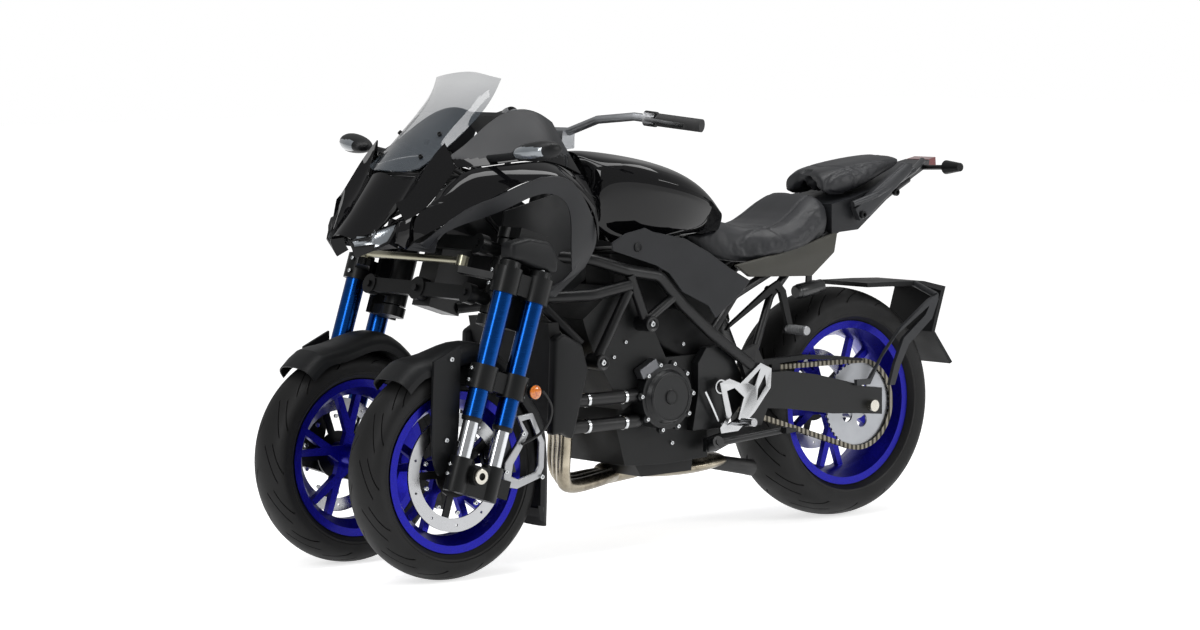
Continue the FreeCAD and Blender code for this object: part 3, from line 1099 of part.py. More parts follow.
def caliper(x, z, disc_y, radius, turn, outer_side, outer_depth):
    """Two bodies each side of the disc and a bridge over its edge."""
    low, high = math.radians(turn - CALIPER_SPAN / 2), math.radians(turn + CALIPER_SPAN / 2)

    def corners(inner_share, outer_share):
        return [(x + radius * r * math.cos(a), z + radius * r * math.sin(a))
                for r, a in ((inner_share, low), (outer_share, low), (outer_share, high),
                             (inner_share, high))]
    gap = DISC_THICKNESS / 2 + 1
    body = corners(CALIPER_ROOT_SHARE, CALIPER_REACH_SHARE)
    near = slab(body, disc_y + outer_side * gap, disc_y + outer_side * outer_depth)
    far = slab(body, disc_y - outer_side * gap, disc_y - outer_side * CALIPER_DEPTH)
    bridge = slab(corners(1.07, CALIPER_REACH_SHARE), disc_y - CALIPER_DEPTH, disc_y + CALIPER_DEPTH)
    return fuse([near, far, bridge])


disc_y = half_track + FRONT_DISC_Y
stay_y = fork_y - 29
front_caliper = caliper(FRONT_AXLE_X, front_axle_z, disc_y, FRONT_DISC_RADIUS, 166, 1,
                        stay_y - CLEARANCE - disc_y)
stay_outer = [(692, 407), (642, 411), (604, 334), (608, 269), (622, 243), (695, 222), (740, 232), (733, 292), (700, 330), (672, 366)]
stay_inner = [(676, 392), (650, 396), (622, 334), (626, 276), (636, 260), (690, 246), (712, 256), (706, 285), (680, 320), (655, 360)]
rear_disc_y = -REAR_HUB_HALF - DISC_THICKNESS / 2
rear_caliper = caliper(rear_axle_x, rear_axle_z, rear_disc_y, REAR_DISC_RADIUS, 14, -1,
                       CALIPER_DEPTH + 8)
hanger_x = rear_axle_x + REAR_DISC_RADIUS * 0.9
rear_caliper = rear_caliper.fuse(cross_rod(hanger_x, rear_axle_z + 30, -swing_inner + CLEARANCE,
                                           rear_disc_y - 10, 12))
caliper_stay = slab(stay_outer, stay_y, stay_y + 10).cut(slab(stay_inner, fork_y - 40, fork_y))

# Front mudguard: a shell round the tyre with a side stay
MUDGUARD_GAP = 24
guard_angles = (54, 72, 90, 103, 122, 148, 176, 203)
guard_rise_share = (1.01, 1.02, 1.05, 1.12, 1.06, 1.0, 1.0, 1.03)
guard_sides_share = ((-1, 0.82), (-0.86, 0.95), (-0.4, 1), (0, 1.005), (0.4, 1), (0.86, 0.95), (1, 0.82))
guard_half = FRONT_TYRE_WIDTH / 2 + 10
guard_grid = []
for side, fall in guard_sides_share:
    row = []
    for angle, rise in zip(guard_angles, guard_rise_share):
        r = (FRONT_TYRE_RADIUS + MUDGUARD_GAP) * rise * (1 - (1 - fall) * 0.8)
        a = math.radians(angle)
        row.append(vec(FRONT_AXLE_X + r * math.cos(a), half_track + side * guard_half, front_axle_z + r * math.sin(a)))
    guard_grid.append(row)
guard_shell = panel(guard_grid, PANEL_WALL)
stay_share = [(943, 560), (862, 596), (862, 531), (868, 409), (876, 317), (905, 282), (933, 276), (954, 311), (952, 445)]
guard_stay = slab(stay_share, half_track + guard_half + CLEARANCE,
                  fork_y - FORK_INNER_RADIUS - 8 - CLEARANCE)
front_mudguard = [guard_shell, guard_stay]

# Posts and arms
posts = []
for height in (LOWER_ARM_HEIGHT, UPPER_ARM_HEIGHT):
    posts.append(lead_rod(0, front_lead, half_track, height, 17))
    posts.append(lead_rod(0, ARM_LEAD + ARM_THICKNESS / 2 + 6, half_track, height, ARM_PIN_RADIUS))
posts.append(king_rod(0, half_track, POST_LOW, POST_HIGH, POST_RADIUS))
posts.append(king_rod(0, half_track, yoke_low, yoke_high, KINGPIN_RADIUS))
kingpin_posts = both_sides(fuse(posts))
lean_arms = []
for height in (LOWER_ARM_HEIGHT, UPPER_ARM_HEIGHT):
    low, high = ARM_LEAD - ARM_THICKNESS / 2, ARM_LEAD + ARM_THICKNESS / 2
    parts = [lead_rod(low, high, side * half_track, height, ARM_EYE_RADIUS - 4) for side in (-1, 1)]
    parts.append(lead_rod(low, high, 0, height, ARM_EYE_RADIUS))
    parts.append(king_block((low + 3, high - 3), (-half_track, half_track), (height - ARM_DEPTH / 2 + 4, height + ARM_DEPTH / 2 - 4)))
    holes = [lead_rod(low - 5, high + 5, side * half_track, height, ARM_PIN_RADIUS + CLEARANCE) for side in (-1, 0, 1)]
    lean_arms.append(fuse(parts).cut(Part.makeCompound(holes)))

# Tie rod
tie_height = tie_low + 13
tie = [rod(king(TIE_ROD_LEAD, -half_track, tie_height), king(TIE_ROD_LEAD, half_track, tie_height), TIE_ROD_RADIUS)]
tie += [king_rod(TIE_ROD_LEAD, side * half_track, tie_low, tie_low + 26, TIE_ROD_BALL_RADIUS) for side in (-1, 1)]
tie_holes = [king_rod(TIE_ROD_LEAD, side * half_track, tie_low - 5, tie_low + 31, TIE_PIN_RADIUS + gap)
             for side, gap in ((-1, CLEARANCE * 2), (1, RUNNING_CLEARANCE))]
tie_rod = fuse(tie).cut(Part.makeCompound(tie_holes))

# Handlebar on its stem
bar_path = [vec(316, 0, 1104), vec(316, 45, 1104), vec(304, 150, 1137), vec(264, 250, 1146), vec(188, 425, 1124)]
bar_left = fuse([rod(a, b, BAR_RADIUS) for a, b in zip(bar_path, bar_path[1:])] + [Part.makeSphere(BAR_RADIUS, p) for p in bar_path[1:-1]])
stem_shaft = stem(STEM_RADIUS, -STEM_LOW_DROP - 10, 10)
stem_yoke = fuse([stem(34, -12, 14), slab([(300, 1060), (345, 1056), (338, 1108), (298, 1112)], -48, 48)])
handlebar = fuse([bar_left, flip(bar_left), stem_shaft, stem_yoke])
grip_dir = (bar_path[4] - bar_path[3]).normalize()
grip_left = rod(bar_path[4] - grip_dir * GRIP_LENGTH, bar_path[4] + grip_dir * 2, GRIP_RADIUS).cut(rod(bar_path[3], bar_path[4] , BAR_RADIUS + CLEARANCE))
hand_grips = both_sides(grip_left)
control_at = bar_path[4] - grip_dir * (GRIP_LENGTH + 22)
control = rod(control_at - grip_dir * 16, control_at + grip_dir * 16, 20).cut(rod(bar_path[3], bar_path[4], BAR_RADIUS + CLEARANCE))
lever = rod(control_at + X_AXIS * 18, control_at + X_AXIS * 52 + grip_dir * 140, 6)
hand_controls = both_sides(fuse([control, lever]))

# Side stand, folded back along the left side
eye_start = STAND_HINGE + STAND_AXIS * CLEARANCE
stand_eye = rod(eye_start, eye_start + STAND_AXIS * STAND_EYE_LENGTH, STAND_EYE_RADIUS)
leg_start = STAND_HINGE + STAND_AXIS * (STAND_EYE_LENGTH * 0.6)
stand_tip = STAND_HINGE + vec(-225, 30, 24)
stand_foot = slab([(stand_tip.x - 22, stand_tip.z - 6), (stand_tip.x + 14, stand_tip.z - 8),
                   (stand_tip.x + 14, stand_tip.z + 8), (stand_tip.x - 22, stand_tip.z + 4)],
                  stand_tip.y - 10, stand_tip.y + 26)
stand_bore = rod(STAND_HINGE - STAND_AXIS * OVERRUN, STAND_HINGE + STAND_AXIS * (STAND_EYE_LENGTH + OVERRUN),
                 STAND_PIN_RADIUS + RUNNING_CLEARANCE)
side_stand = fuse([stand_eye, rod(leg_start, stand_tip, 10), stand_foot]).cut(stand_bore)

os.makedirs("parts", exist_ok=True)
write("main_frame", main_frame)
write("engine_block", engine_block)
write("engine_covers", engine_covers)
write("radiator", radiator)
write("radiator_shrouds", radiator_shrouds)
write("exhaust_pipes", exhaust_pipes)
write("muffler", muffler)
write("swingarm", swingarm)
write("drive_chain", drive_chain)
write("chain_guard", chain_guard)
write("rear_shock", rear_shock)
write("rear_caliper", rear_caliper)
write("foot_controls", foot_controls)
write("passenger_footpegs", passenger_footpegs)
write("fuel_tank", fuel_tank)
write("tank_side_covers", tank_side_covers)
write("rider_seat", rider_seat)
write("passenger_seat", passenger_seat)
write("tail_cowl", tail_cowl)
write("grab_rails", grab_rails)
write("rear_lamps", rear_lamps)
write("rear_mudguard", rear_mudguard)
write("nose_cowl", nose_cowl)
write("side_cowls", side_cowls)
write("arch_trims", arch_trims)
write("headlamps", headlamps)
write("windscreen", windscreen)
write("instrument_panel", instrument_panel)
write("mirrors", mirrors)
write("lean_arms", lean_arms)
write("kingpin_posts", kingpin_posts)
write("rear_axle", rear_axle)
write("handlebar", handlebar)
write("hand_grips", hand_grips)
write("hand_controls", hand_controls)
write("tie_rod", tie_rod)
write("side_stand", side_stand)
write("rear_rim", rear_rim)
write("rear_tyre", rear_tyre)
write("rear_disc", rear_disc)
write("rear_sprocket", rear_sprocket)
fork_pieces = {"fork_tubes": fork_tubes, "fork_legs": fork_legs, "fork_castings": fork_castings,
               "front_caliper": front_caliper, "caliper_stay": caliper_stay,
               "front_mudguard": front_mudguard, "front_rim": front_rim, "front_tyre": front_tyre,
               "front_disc": front_disc}
for name, shapes in fork_pieces.items():
    shapes = shapes if isinstance(shapes, list) else [shapes]
    write(name + "_left", shapes)
    write(name + "_right", [flip(shape) for shape in shapes])
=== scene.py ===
import math
import bmesh
import bpy
from mathutils import Matrix, Vector


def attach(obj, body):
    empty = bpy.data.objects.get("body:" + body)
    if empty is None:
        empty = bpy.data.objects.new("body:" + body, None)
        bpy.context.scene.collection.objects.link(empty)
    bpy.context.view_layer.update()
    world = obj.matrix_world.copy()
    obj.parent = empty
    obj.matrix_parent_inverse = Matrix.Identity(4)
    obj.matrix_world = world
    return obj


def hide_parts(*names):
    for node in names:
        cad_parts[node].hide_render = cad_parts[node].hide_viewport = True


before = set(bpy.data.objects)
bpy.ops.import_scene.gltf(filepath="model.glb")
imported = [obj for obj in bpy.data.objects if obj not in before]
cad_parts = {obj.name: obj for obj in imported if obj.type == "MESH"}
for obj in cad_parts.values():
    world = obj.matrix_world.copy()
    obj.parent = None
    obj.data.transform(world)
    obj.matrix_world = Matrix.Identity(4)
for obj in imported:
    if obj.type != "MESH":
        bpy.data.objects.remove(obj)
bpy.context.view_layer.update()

# Main frame: steel tubes of about 32 mm, bent and welded, under a satin black powder coat.
# The coat melts into a fine orange peel that breaks up long highlights on the tubes.
LEFT, RIGHT = (0, 1, 0), (0, -1, 0)
WELD = 0.00002


def hex_colour(code):
    """Linear red, green, blue, alpha from an sRGB hex value."""
    channels = [int(code[i:i + 2], 16) / 255 for i in (0, 2, 4)]
    return [c / 12.92 if c <= 0.04045 else ((c + 0.055) / 1.055) ** 2.4 for c in channels] + [1]


def add_node(tree, kind, inputs={}, **settings):
    """A shader node with its settings; an input is a number, a colour or another node's socket."""
    node = tree.nodes.new("ShaderNode" + kind)
    for name, value in settings.items():
        setattr(node, name, value)
    for name, value in inputs.items():
        if isinstance(value, bpy.types.NodeSocket):
            tree.links.new(value, node.inputs[name])
        else:
            node.inputs[name].default_value = value
    return node


def new_finish(name, **shader_values):
    """A plain material, with its tree, its shader and the object's own coordinates."""
    finish = bpy.data.materials.new(name)
    finish.use_nodes = True
    tree = finish.node_tree
    tree.nodes.clear()
    shader = add_node(tree, "BsdfPrincipled", {k.replace("_", " "): v for k, v in shader_values.items()})
    add_node(tree, "OutputMaterial", {"Surface": shader.outputs[0]})
    return finish, tree, shader, add_node(tree, "TexCoord").outputs["Object"]


def coloured(tree, shader, share, low, high):
    """Blends the shader's colour from one sRGB value to another by a pattern's share."""
    mix = add_node(tree, "Mix", {"Factor": share}, data_type="RGBA")
    mix.inputs[6].default_value, mix.inputs[7].default_value = hex_colour(low), hex_colour(high)
    tree.links.new(mix.outputs[2], shader.inputs["Base Color"])


def ranged(tree, node, slot, value, start, end, low, high):
    """Feeds a value to a node's slot, carried over from one range to another."""
    carried = add_node(tree, "MapRange", {"Value": value, "From Min": start, "From Max": end,
                                          "To Min": low, "To Max": high})
    tree.links.new(carried.outputs[0], node.inputs[slot])


def grained(name, low, high, rough, grain_mm, depth_mm, **shader_values):
    """A coated, cast or moulded surface: its grain in relief, and its colour and sheen a little uneven."""
    finish, tree, shader, place = new_finish(name, **shader_values)
    fine = add_node(tree, "TexNoise", {"Vector": place, "Scale": 1000 / grain_mm, "Detail": 3.0})
    broad = add_node(tree, "TexNoise", {"Vector": place, "Scale": 14.0, "Detail": 4.0})
    coloured(tree, shader, broad.outputs[0], low, high)
    ranged(tree, shader, "Roughness", broad.outputs[0], 0.3, 0.7, *rough)
    relief = add_node(tree, "Bump", {"Height": fine.outputs[0], "Distance": depth_mm / 1000})
    tree.links.new(relief.outputs[0], shader.inputs["Normal"])
    return finish


def only(piece):
    """The piece alone selected and active."""
    bpy.ops.object.select_all(action="DESELECT")
    piece.select_set(True)
    bpy.context.view_layer.objects.active = piece


def edit_all(kind=None):
    """Opens the active piece for editing, all of it selected, by points or faces where that matters."""
    bpy.ops.object.mode_set(mode="EDIT")
    if kind:
        bpy.ops.mesh.select_mode(type=kind)
    bpy.ops.mesh.select_all(action="SELECT")


def smooth_to(angle):
    """Shades the active piece smooth, apart from edges sharper than an angle in degrees."""
    bpy.ops.object.shade_smooth_by_angle(angle=math.radians(angle))


def modified(piece, kind, **settings):
    """Puts a modifier on the active piece and applies it."""
    step = piece.modifiers.new("step", kind)
    for name, value in settings.items():
        setattr(step, name, value)
    bpy.ops.object.modifier_apply(modifier="step")


def fair_copy(node):
    """A merged copy of a CAD node's own mesh, shaded smooth but for its edges."""
    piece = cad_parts[node].copy()
    piece.data = piece.data.copy()
    for key in list(piece.keys()):
        del piece[key]
    piece.name = "dressed_" + node
    piece.parent = None
    piece.matrix_world = Matrix.Identity(4)
    bpy.context.collection.objects.link(piece)
    only(piece)
    edit_all()
    bpy.ops.mesh.remove_doubles(threshold=WELD)
    bpy.ops.mesh.customdata_custom_splitnormals_clear()
    bpy.ops.object.mode_set(mode="OBJECT")
    smooth_to(32)
    return piece


def clothe(piece, finish, body, slot, *nodes):
    """Gives a finished piece its material and the body it moves with."""
    piece.data.materials.clear()
    piece.data.materials.append(finish)
    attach(piece, body)
    if nodes:
        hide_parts(*nodes)
    return piece


def dress(node, finish, body, slot):
    """A fair copy of a CAD node that stands for it, with its finish."""
    return clothe(fair_copy(node), finish, body, slot, node)


def eased_copy(node, width, cutters=()):
    """A fair copy with its cut-outs made, its flat faces joined up and its hard edges rounded over."""
    piece = fair_copy(node)
    for cutter in cutters:
        modified(piece, "BOOLEAN", object=cutter, operation="DIFFERENCE", solver="EXACT")
    edit_all()
    bpy.ops.mesh.dissolve_limited(angle_limit=math.radians(1.2))
    bpy.ops.object.mode_set(mode="OBJECT")
    modified(piece, "BEVEL", width=width, segments=2, limit_method="ANGLE", angle_limit=math.radians(34))
    smooth_to(42)
    return piece


def ease(node, width, finish, body, slot):
    """An eased copy of a CAD node that stands for it, with its finish."""
    return clothe(eased_copy(node, width), finish, body, slot, node)


def second_finish(piece, finish, wanted):
    """Another material on the faces whose centre passes a test."""
    piece.data.materials.append(finish)
    last = len(piece.data.materials) - 1
    for face in piece.data.polygons:
        if wanted(face.center, face.normal):
            face.material_index = last


def place_part(piece, at, along):
    """Stands a piece made up the z axis at a point, leaning along a direction."""
    piece.matrix_world = Matrix.Translation(at) @ Vector(along).to_track_quat("Z", "Y").to_matrix().to_4x4()
    only(piece)
    bpy.ops.object.transform_apply(location=True, rotation=True, scale=True)
    return piece


def drawn(name, points):
    """A line drawn point by point, left selected in edit mode."""
    bpy.ops.object.select_all(action="DESELECT")
    bpy.ops.mesh.primitive_plane_add(size=0.001, location=points[0])
    piece = bpy.context.object
    piece.name = name
    edit_all("VERT")
    bpy.ops.mesh.merge(type="CENTER")
    for before, after in zip(points, points[1:]):
        step = [b - a for a, b in zip(before, after)]
        bpy.ops.mesh.extrude_region_move(TRANSFORM_OT_translate={"value": step})
    bpy.ops.mesh.select_all(action="SELECT")
    return piece


def drawing_done():
    """Turns the drawn faces outward, leaves edit mode and puts the piece's place into its mesh."""
    bpy.ops.mesh.select_all(action="SELECT")
    bpy.ops.mesh.normals_make_consistent(inside=False)
    bpy.ops.object.mode_set(mode="OBJECT")
    bpy.ops.object.transform_apply(location=True, rotation=True, scale=True)


def spun(name, points, steps, centre, axis):
    """A drawn line spun all the way round an axis."""
    piece = drawn(name, points)
    bpy.ops.mesh.spin(steps=steps, angle=2 * math.pi, center=centre, axis=axis)
    bpy.ops.mesh.select_all(action="SELECT")
    bpy.ops.mesh.remove_doubles(threshold=WELD)
    drawing_done()
    return piece


def turned_part(name, line, at=(0, 0, 0), along=(0, 0, 1), steps=24):
    """A (radius, height) line spun up the z axis and stood in its place."""
    piece = spun(name, [(radius, 0, height) for radius, height in line], steps, (0, 0, 0), (0, 0, 1))
    smooth_to(40)
    return place_part(piece, at, along)


def gathered(name, pieces):
    """Pieces joined into one object."""
    bpy.ops.object.select_all(action="DESELECT")
    for piece in pieces:
        piece.select_set(True)
    bpy.context.view_layer.objects.active = pieces[0]
    bpy.ops.object.join()
    bpy.context.object.name = name
    return bpy.context.object


def copies_of(piece, places):
    """Copies of a unit piece, each with its own mesh, as (point, direction, size) places ask."""
    made = []
    for at, along, size in places:
        twin = piece.copy()
        twin.data = piece.data.copy()
        bpy.context.collection.objects.link(twin)
        twin.scale = (size, size, size)
        only(twin)
        bpy.ops.object.transform_apply(location=False, rotation=False, scale=True)
        made.append(place_part(twin, at, along))
    bpy.data.objects.remove(piece)
    return made


def screws(name, places, finish, body, slot):
    """Socket screws in a row of places: turned heads with a chamfer and a sunk socket."""
    head = turned_part("screw_head", [(0, 0.55), (0.5, 0.55), (0.5, 1.1), (0.82, 1.1), (1, 0.92), (1, 0),
                                      (0, 0)], steps=12)
    return clothe(gathered(name, copies_of(head, places)), finish, body, slot)


BOSS_ENDS = [(0.1233, 0.6), (0.2913, 0.51)]
BOSS_CUP = [(0.0125, -0.001), (0.0125, 0.003), (0.018, 0.0045), (0.0207, 0.003), (0.0207, -0.001)]
powder_coat = grained("satin_black_powder_coat", "08080A", "0F1011", (0.32, 0.42), 1.6, 0.05,
                      Specular_IOR_Level=0.32)
dress("main_frame", powder_coat, "chassis", "frame_black")
zinc = grained("bright_zinc_screw", "A9ABAD", "D3D5D6", (0.16, 0.28), 0.8, 0.02, Metallic=1.0)
cups = [turned_part("boss_cup", BOSS_CUP, (x, 0.2 * side, z), (0, side, 0))
        for side in (1, -1) for x, z in BOSS_ENDS]
clothe(gathered("frame_boss_cups", cups), powder_coat, "chassis", "frame_black")
screws("frame_boss_screws", [((x, 0.1985 * side, z), (0, side, 0), 0.0075) for x, z in BOSS_ENDS
                             for side in (1, -1)], zinc, "chassis", "silver")

# Engine: die-cast aluminium under satin grey-black engine paint, with darker covers bolted on.
# Sand-fine cast grain shows through the paint, and the machined screws stay brighter.
CRANK = Vector((0.0562, 0.198, 0.402))
CLUTCH = Vector((-0.0018, -0.182, 0.402))
RIM_RADIUS, RIM_ANGLES = 0.0885, (4, 42, 74, 106, 140, 178, 214, 246, 282, 322)
BLOCK_SCREWS = [(0.214, 0.15, 0.5155, 0.005), (0.1732, 0.15, 0.5525, 0.005),
                (0.1743, 0.13, 0.4466, 0.0055), (0.1766, 0.13, 0.3552, 0.0055),
                (0.1489, 0.13, 0.3314, 0.0055), (-0.0006, 0.13, 0.2704, 0.0055),
                (-0.0423, 0.13, 0.5316, 0.005), (0.1486, 0.096, 0.2552, 0.0048),
                (0.098, 0.096, 0.2454, 0.0048), (0.0498, 0.096, 0.238, 0.0048)]


def ring_of(x, y, z, radius, degrees):
    """Points on a circle about a crosswise axis, at angles from straight ahead."""
    turns = [math.radians(angle) for angle in degrees]
    return [(x + radius * math.cos(turn), y, z + radius * math.sin(turn)) for turn in turns]


engine_paint = grained("engine_paint_on_cast_aluminium", "090A0A", "121314", (0.36, 0.5), 1.2, 0.12,
                       Specular_IOR_Level=0.24)
cover_paint = grained("cover_paint_on_cast_aluminium", "121314", "1C1D1E", (0.26, 0.36), 1.4, 0.08,
                      Metallic=0.2, Specular_IOR_Level=0.36)
ease("engine_block", 0.003, engine_paint, "chassis", "engine_grey")
ease("engine_covers", 0.0015, cover_paint, "chassis", "cover_black")
seat = turned_part("cover_badge_seat", [(0, -0.0015), (0.0135, -0.0015), (0.0145, 0.0005), (0.0195, 0.0005),
                                        (0.0205, -0.003), (0, -0.004)], CRANK + Vector((0, 0.004, 0)), LEFT)
clothe(seat, engine_paint, "chassis", "engine_grey")
band = turned_part("crank_cover_band", [(0.0585, -0.002), (0.0595, 0.0012), (0.0625, 0.0016),
                                        (0.0655, -0.0005), (0.0665, -0.004)], CRANK, LEFT, 48)
clothe(band, cover_paint, "chassis", "cover_black")

PAD_AT = (0.1155, 0.1685, 0.4795)
bpy.ops.object.select_all(action="DESELECT")
bpy.ops.mesh.primitive_cube_add(size=1, location=PAD_AT, scale=(0.064, 0.029, 0.03))
pad = bpy.context.object
pad.name = "machined_pad"
bpy.ops.object.transform_apply(location=True, rotation=False, scale=True)
edit_all("VERT")
bpy.ops.transform.rotate(value=math.radians(-27), orient_axis="Y", center_override=PAD_AT)
bpy.ops.mesh.bevel(offset=0.004, segments=2)
bpy.ops.object.mode_set(mode="OBJECT")
pad_alloy = grained("brushed_cover_pad", "5A5B5E", "6E6F72", (0.3, 0.42), 0.8, 0.04, Metallic=0.9)
clothe(pad, pad_alloy, "chassis", "silver")

lug = turned_part("lug", [(0, 0.0105), (0.0082, 0.0105), (0.0098, 0.009), (0.0098, -0.002), (0, -0.002)],
                  steps=16)
lugs = copies_of(lug, [(at, LEFT, 1) for at in ring_of(CRANK.x, 0.1705, CRANK.z, RIM_RADIUS, RIM_ANGLES)])
clothe(gathered("crank_cover_lugs", lugs), cover_paint, "chassis", "cover_black")
rim_screws = [(at, LEFT, 0.0056) for at in ring_of(CRANK.x, 0.181, CRANK.z, RIM_RADIUS, RIM_ANGLES)]
block_screws = [((x, y, z), LEFT, size) for x, y, z, size in BLOCK_SCREWS]
screws("engine_screws_left", rim_screws + block_screws, zinc, "chassis", "silver")
screws("engine_screws_right", [(at, RIGHT, 0.0056) for at in ring_of(*CLUTCH, 0.091, range(10, 370, 36))],
       zinc, "chassis", "silver")

# Radiator and its side shrouds: a brazed aluminium core with rows of fins, dyed black, behind
# moulded matte covers. Woven hoses with bright clips run back to the engine.
SHROUD = [(0.418, 0.595), (0.3553, 0.5602), (0.3364, 0.4942), (0.3602, 0.418), (0.3813, 0.3418),
          (0.391, 0.3172), (0.4212, 0.3351), (0.4601, 0.3329), (0.452, 0.46), (0.4471, 0.5793)]
CLIP = [(0.0176, -0.005), (0.0192, -0.0042), (0.0192, 0.0042), (0.0176, 0.005)]


def plate(name, outline, near, far, easing=0.0, steps=2):
    """A flat part drawn as an outline in x and z, pulled out from one y to another, its rims eased."""
    piece = drawn(name, [(x, near, z) for x, z in outline])
    bpy.ops.mesh.edge_face_add()
    bpy.ops.mesh.extrude_region_move(TRANSFORM_OT_translate={"value": (0, far - near, 0)})
    drawing_done()
    if easing:
        modified(piece, "BEVEL", width=easing, segments=steps)
        smooth_to(42)
    return piece


def plate_pair(name, outline, near, far, easing, steps, finish, slot, *nodes):
    """A plate and its mirror image on the chassis, joined, with their finish."""
    pair = [plate(name, outline, near * side, far * side, easing, steps) for side in (1, -1)]
    return clothe(gathered(name, pair), finish, "chassis", slot, *nodes)


def pipe(name, points, radius):
    """A round tube or hose along a smooth line, with closed ends."""
    line = bpy.data.curves.new(name, "CURVE")
    line.dimensions = "3D"
    run = line.splines.new("NURBS")
    run.points.add(len(points) - 1)
    for knot, at in zip(run.points, points):
        knot.co = (*at, 1)
    run.order_u, run.use_endpoint_u = 3, True
    line.resolution_u = 8
    line.bevel_depth, line.bevel_resolution, line.use_fill_caps = radius, 5, True
    piece = bpy.data.objects.new(name, line)
    bpy.context.collection.objects.link(piece)
    only(piece)
    bpy.ops.object.convert(target="MESH")
    smooth_to(50)
    return bpy.context.object


core_black = grained("dyed_aluminium_core", "070708", "0E0F10", (0.45, 0.6), 1.0, 0.1,
                     Specular_IOR_Level=0.18)
dress("radiator", core_black, "chassis", "core_black")
moulded_grey = grained("matte_moulded_abs", "0B0C0D", "131416", (0.42, 0.54), 0.9, 0.06,
                       Specular_IOR_Level=0.22)
plate_pair("shroud_covers", SHROUD, 0.169, 0.2, 0.009, 4, moulded_grey, "matte_grey", "radiator_shrouds")
hose_rubber = grained("woven_coolant_hose", "0A0A0B", "121213", (0.4, 0.52), 1.2, 0.06,
                      Specular_IOR_Level=0.35)
hoses, clips = [], []
for height in (0.41, 0.342):
    hoses.append(pipe("hose", [(0.3962, 0.148, height), (0.27, 0.156, height), (0.16, 0.158, height),
                               (0.128, 0.15, height), (0.126, 0.11, height)], 0.0175))
    for x, y in ((0.31, 0.1535), (0.188, 0.1578)):
        clips.append(turned_part("clip", CLIP, (x, y, height), (1, 0, 0), 32))
clothe(gathered("coolant_hoses", hoses), hose_rubber, "chassis", "core_black")
clothe(gathered("hose_clips", clips), zinc, "chassis", "silver")

# Airbox: two dark moulded halves that fill the frame between the tank and the engine.
# A matte, slightly rubbed black that takes up the light between the tubes.
AIRBOX = [(0.1912, 0.69), (0.1912, 0.785), (-0.0038, 0.785), (-0.1436, 0.735), (-0.2389, 0.65),
          (-0.1938, 0.545), (-0.1636, 0.48), (-0.0837, 0.475), (0.0162, 0.525), (0.0762, 0.583)]
plate_pair("airbox", AIRBOX, 0.002, 0.116, 0.012, 4, core_black, "core_black")

# Exhaust: stainless headers that heat has tinted straw and bronze, welded into a silencer box of
# the same steel with a black outlet. Brushing and the tint both run unevenly along the bends.
BOX_END, OUTLET = Vector((-0.2276, 0.045, 0.191)), Vector((-0.352, 0.0575, 0.166))


def swelled(name, rings, crosswise=False):
    """A closed body pulled out along its length through (centre, half width, half height) ovals."""
    turn = (math.pi / 2, 0, 0) if crosswise else (0, math.pi / 2, 0)
    bpy.ops.object.select_all(action="DESELECT")
    bpy.ops.mesh.primitive_circle_add(vertices=16, radius=1, fill_type="NGON", location=rings[0][0],
                                      rotation=turn)
    piece = bpy.context.object
    piece.name = name
    bpy.ops.object.transform_apply(location=True, rotation=True, scale=True)
    edit_all("FACE")
    was, wide, high = rings[0][0], 1, 1
    for centre, half, rise in rings:
        if centre != was:
            step = [b - a for a, b in zip(was, centre)]
            bpy.ops.mesh.extrude_region_move(TRANSFORM_OT_translate={"value": step})
        ratio = (half / wide, 1, rise / high) if crosswise else (1, half / wide, rise / high)
        bpy.ops.transform.resize(value=ratio, center_override=centre)
        was, wide, high = centre, half, rise
    drawing_done()
    modified(piece, "SUBSURF", levels=2, render_levels=2)
    smooth_to(50)
    return piece


header_steel, tree, shader, place = new_finish("heat_tinted_stainless", Metallic=1.0)
tint = add_node(tree, "TexNoise", {"Vector": place, "Scale": 11.0, "Detail": 5.0, "Distortion": 1.2})
bands = add_node(tree, "ValToRGB", {0: tint.outputs[0]})
for stop, at, code in zip(bands.color_ramp.elements, (0.3, 0.68), ("6F6658", "B2AA98")):
    stop.position, stop.color = at, hex_colour(code)
brushed = add_node(tree, "TexNoise", {"Vector": place, "Scale": 600.0, "Detail": 2.0})
tree.links.new(bands.outputs[0], shader.inputs["Base Color"])
ranged(tree, shader, "Roughness", brushed.outputs[0], 0.3, 0.7, 0.2, 0.34)
runs = []
for across in (-0.078, 0, 0.078):
    low_x = 0.2812 + across * 0.6
    runs.append(pipe("header", [(0.2562, across, 0.54), (0.3482, across, 0.505),
                                (low_x - 0.012, across, 0.335), (low_x + 0.004, across, 0.21),
                                (low_x - 0.03, across * 0.8 - 0.01, 0.166),
                                (0.1242, across * 0.45 - 0.034, 0.174),
                                (0.0672, across * 0.2 - 0.05, 0.176)], 0.019))
runs.append(swelled("collector", [((0.1, -0.062, 0.177), 0.036, 0.032), ((0.06, -0.062, 0.177), 0.036, 0.03),
                                  ((-0.02, -0.062, 0.18), 0.027, 0.026),
                                  ((-0.05, -0.06, 0.182), 0.027, 0.025)]))
clothe(gathered("header_pipes", runs), header_steel, "chassis", "header_steel", "exhaust_pipes")
box = swelled("silencer_box", [((0.0, -0.05, 0.183), 0.026, 0.018), ((-0.03, -0.03, 0.184), 0.07, 0.024),
                               ((-0.1, -0.005, 0.187), 0.093, 0.027), ((-0.18, -0.002, 0.191), 0.092, 0.027),
                               ((-0.24, 0.01, 0.196), 0.07, 0.022), ((-0.262, 0.016, 0.197), 0.05, 0.016)])
clothe(box, header_steel, "chassis", "muffler_dark", "muffler")
heat_paint = grained("matte_heat_paint", "121213", "1C1C1D", (0.45, 0.6), 1.5, 0.08)
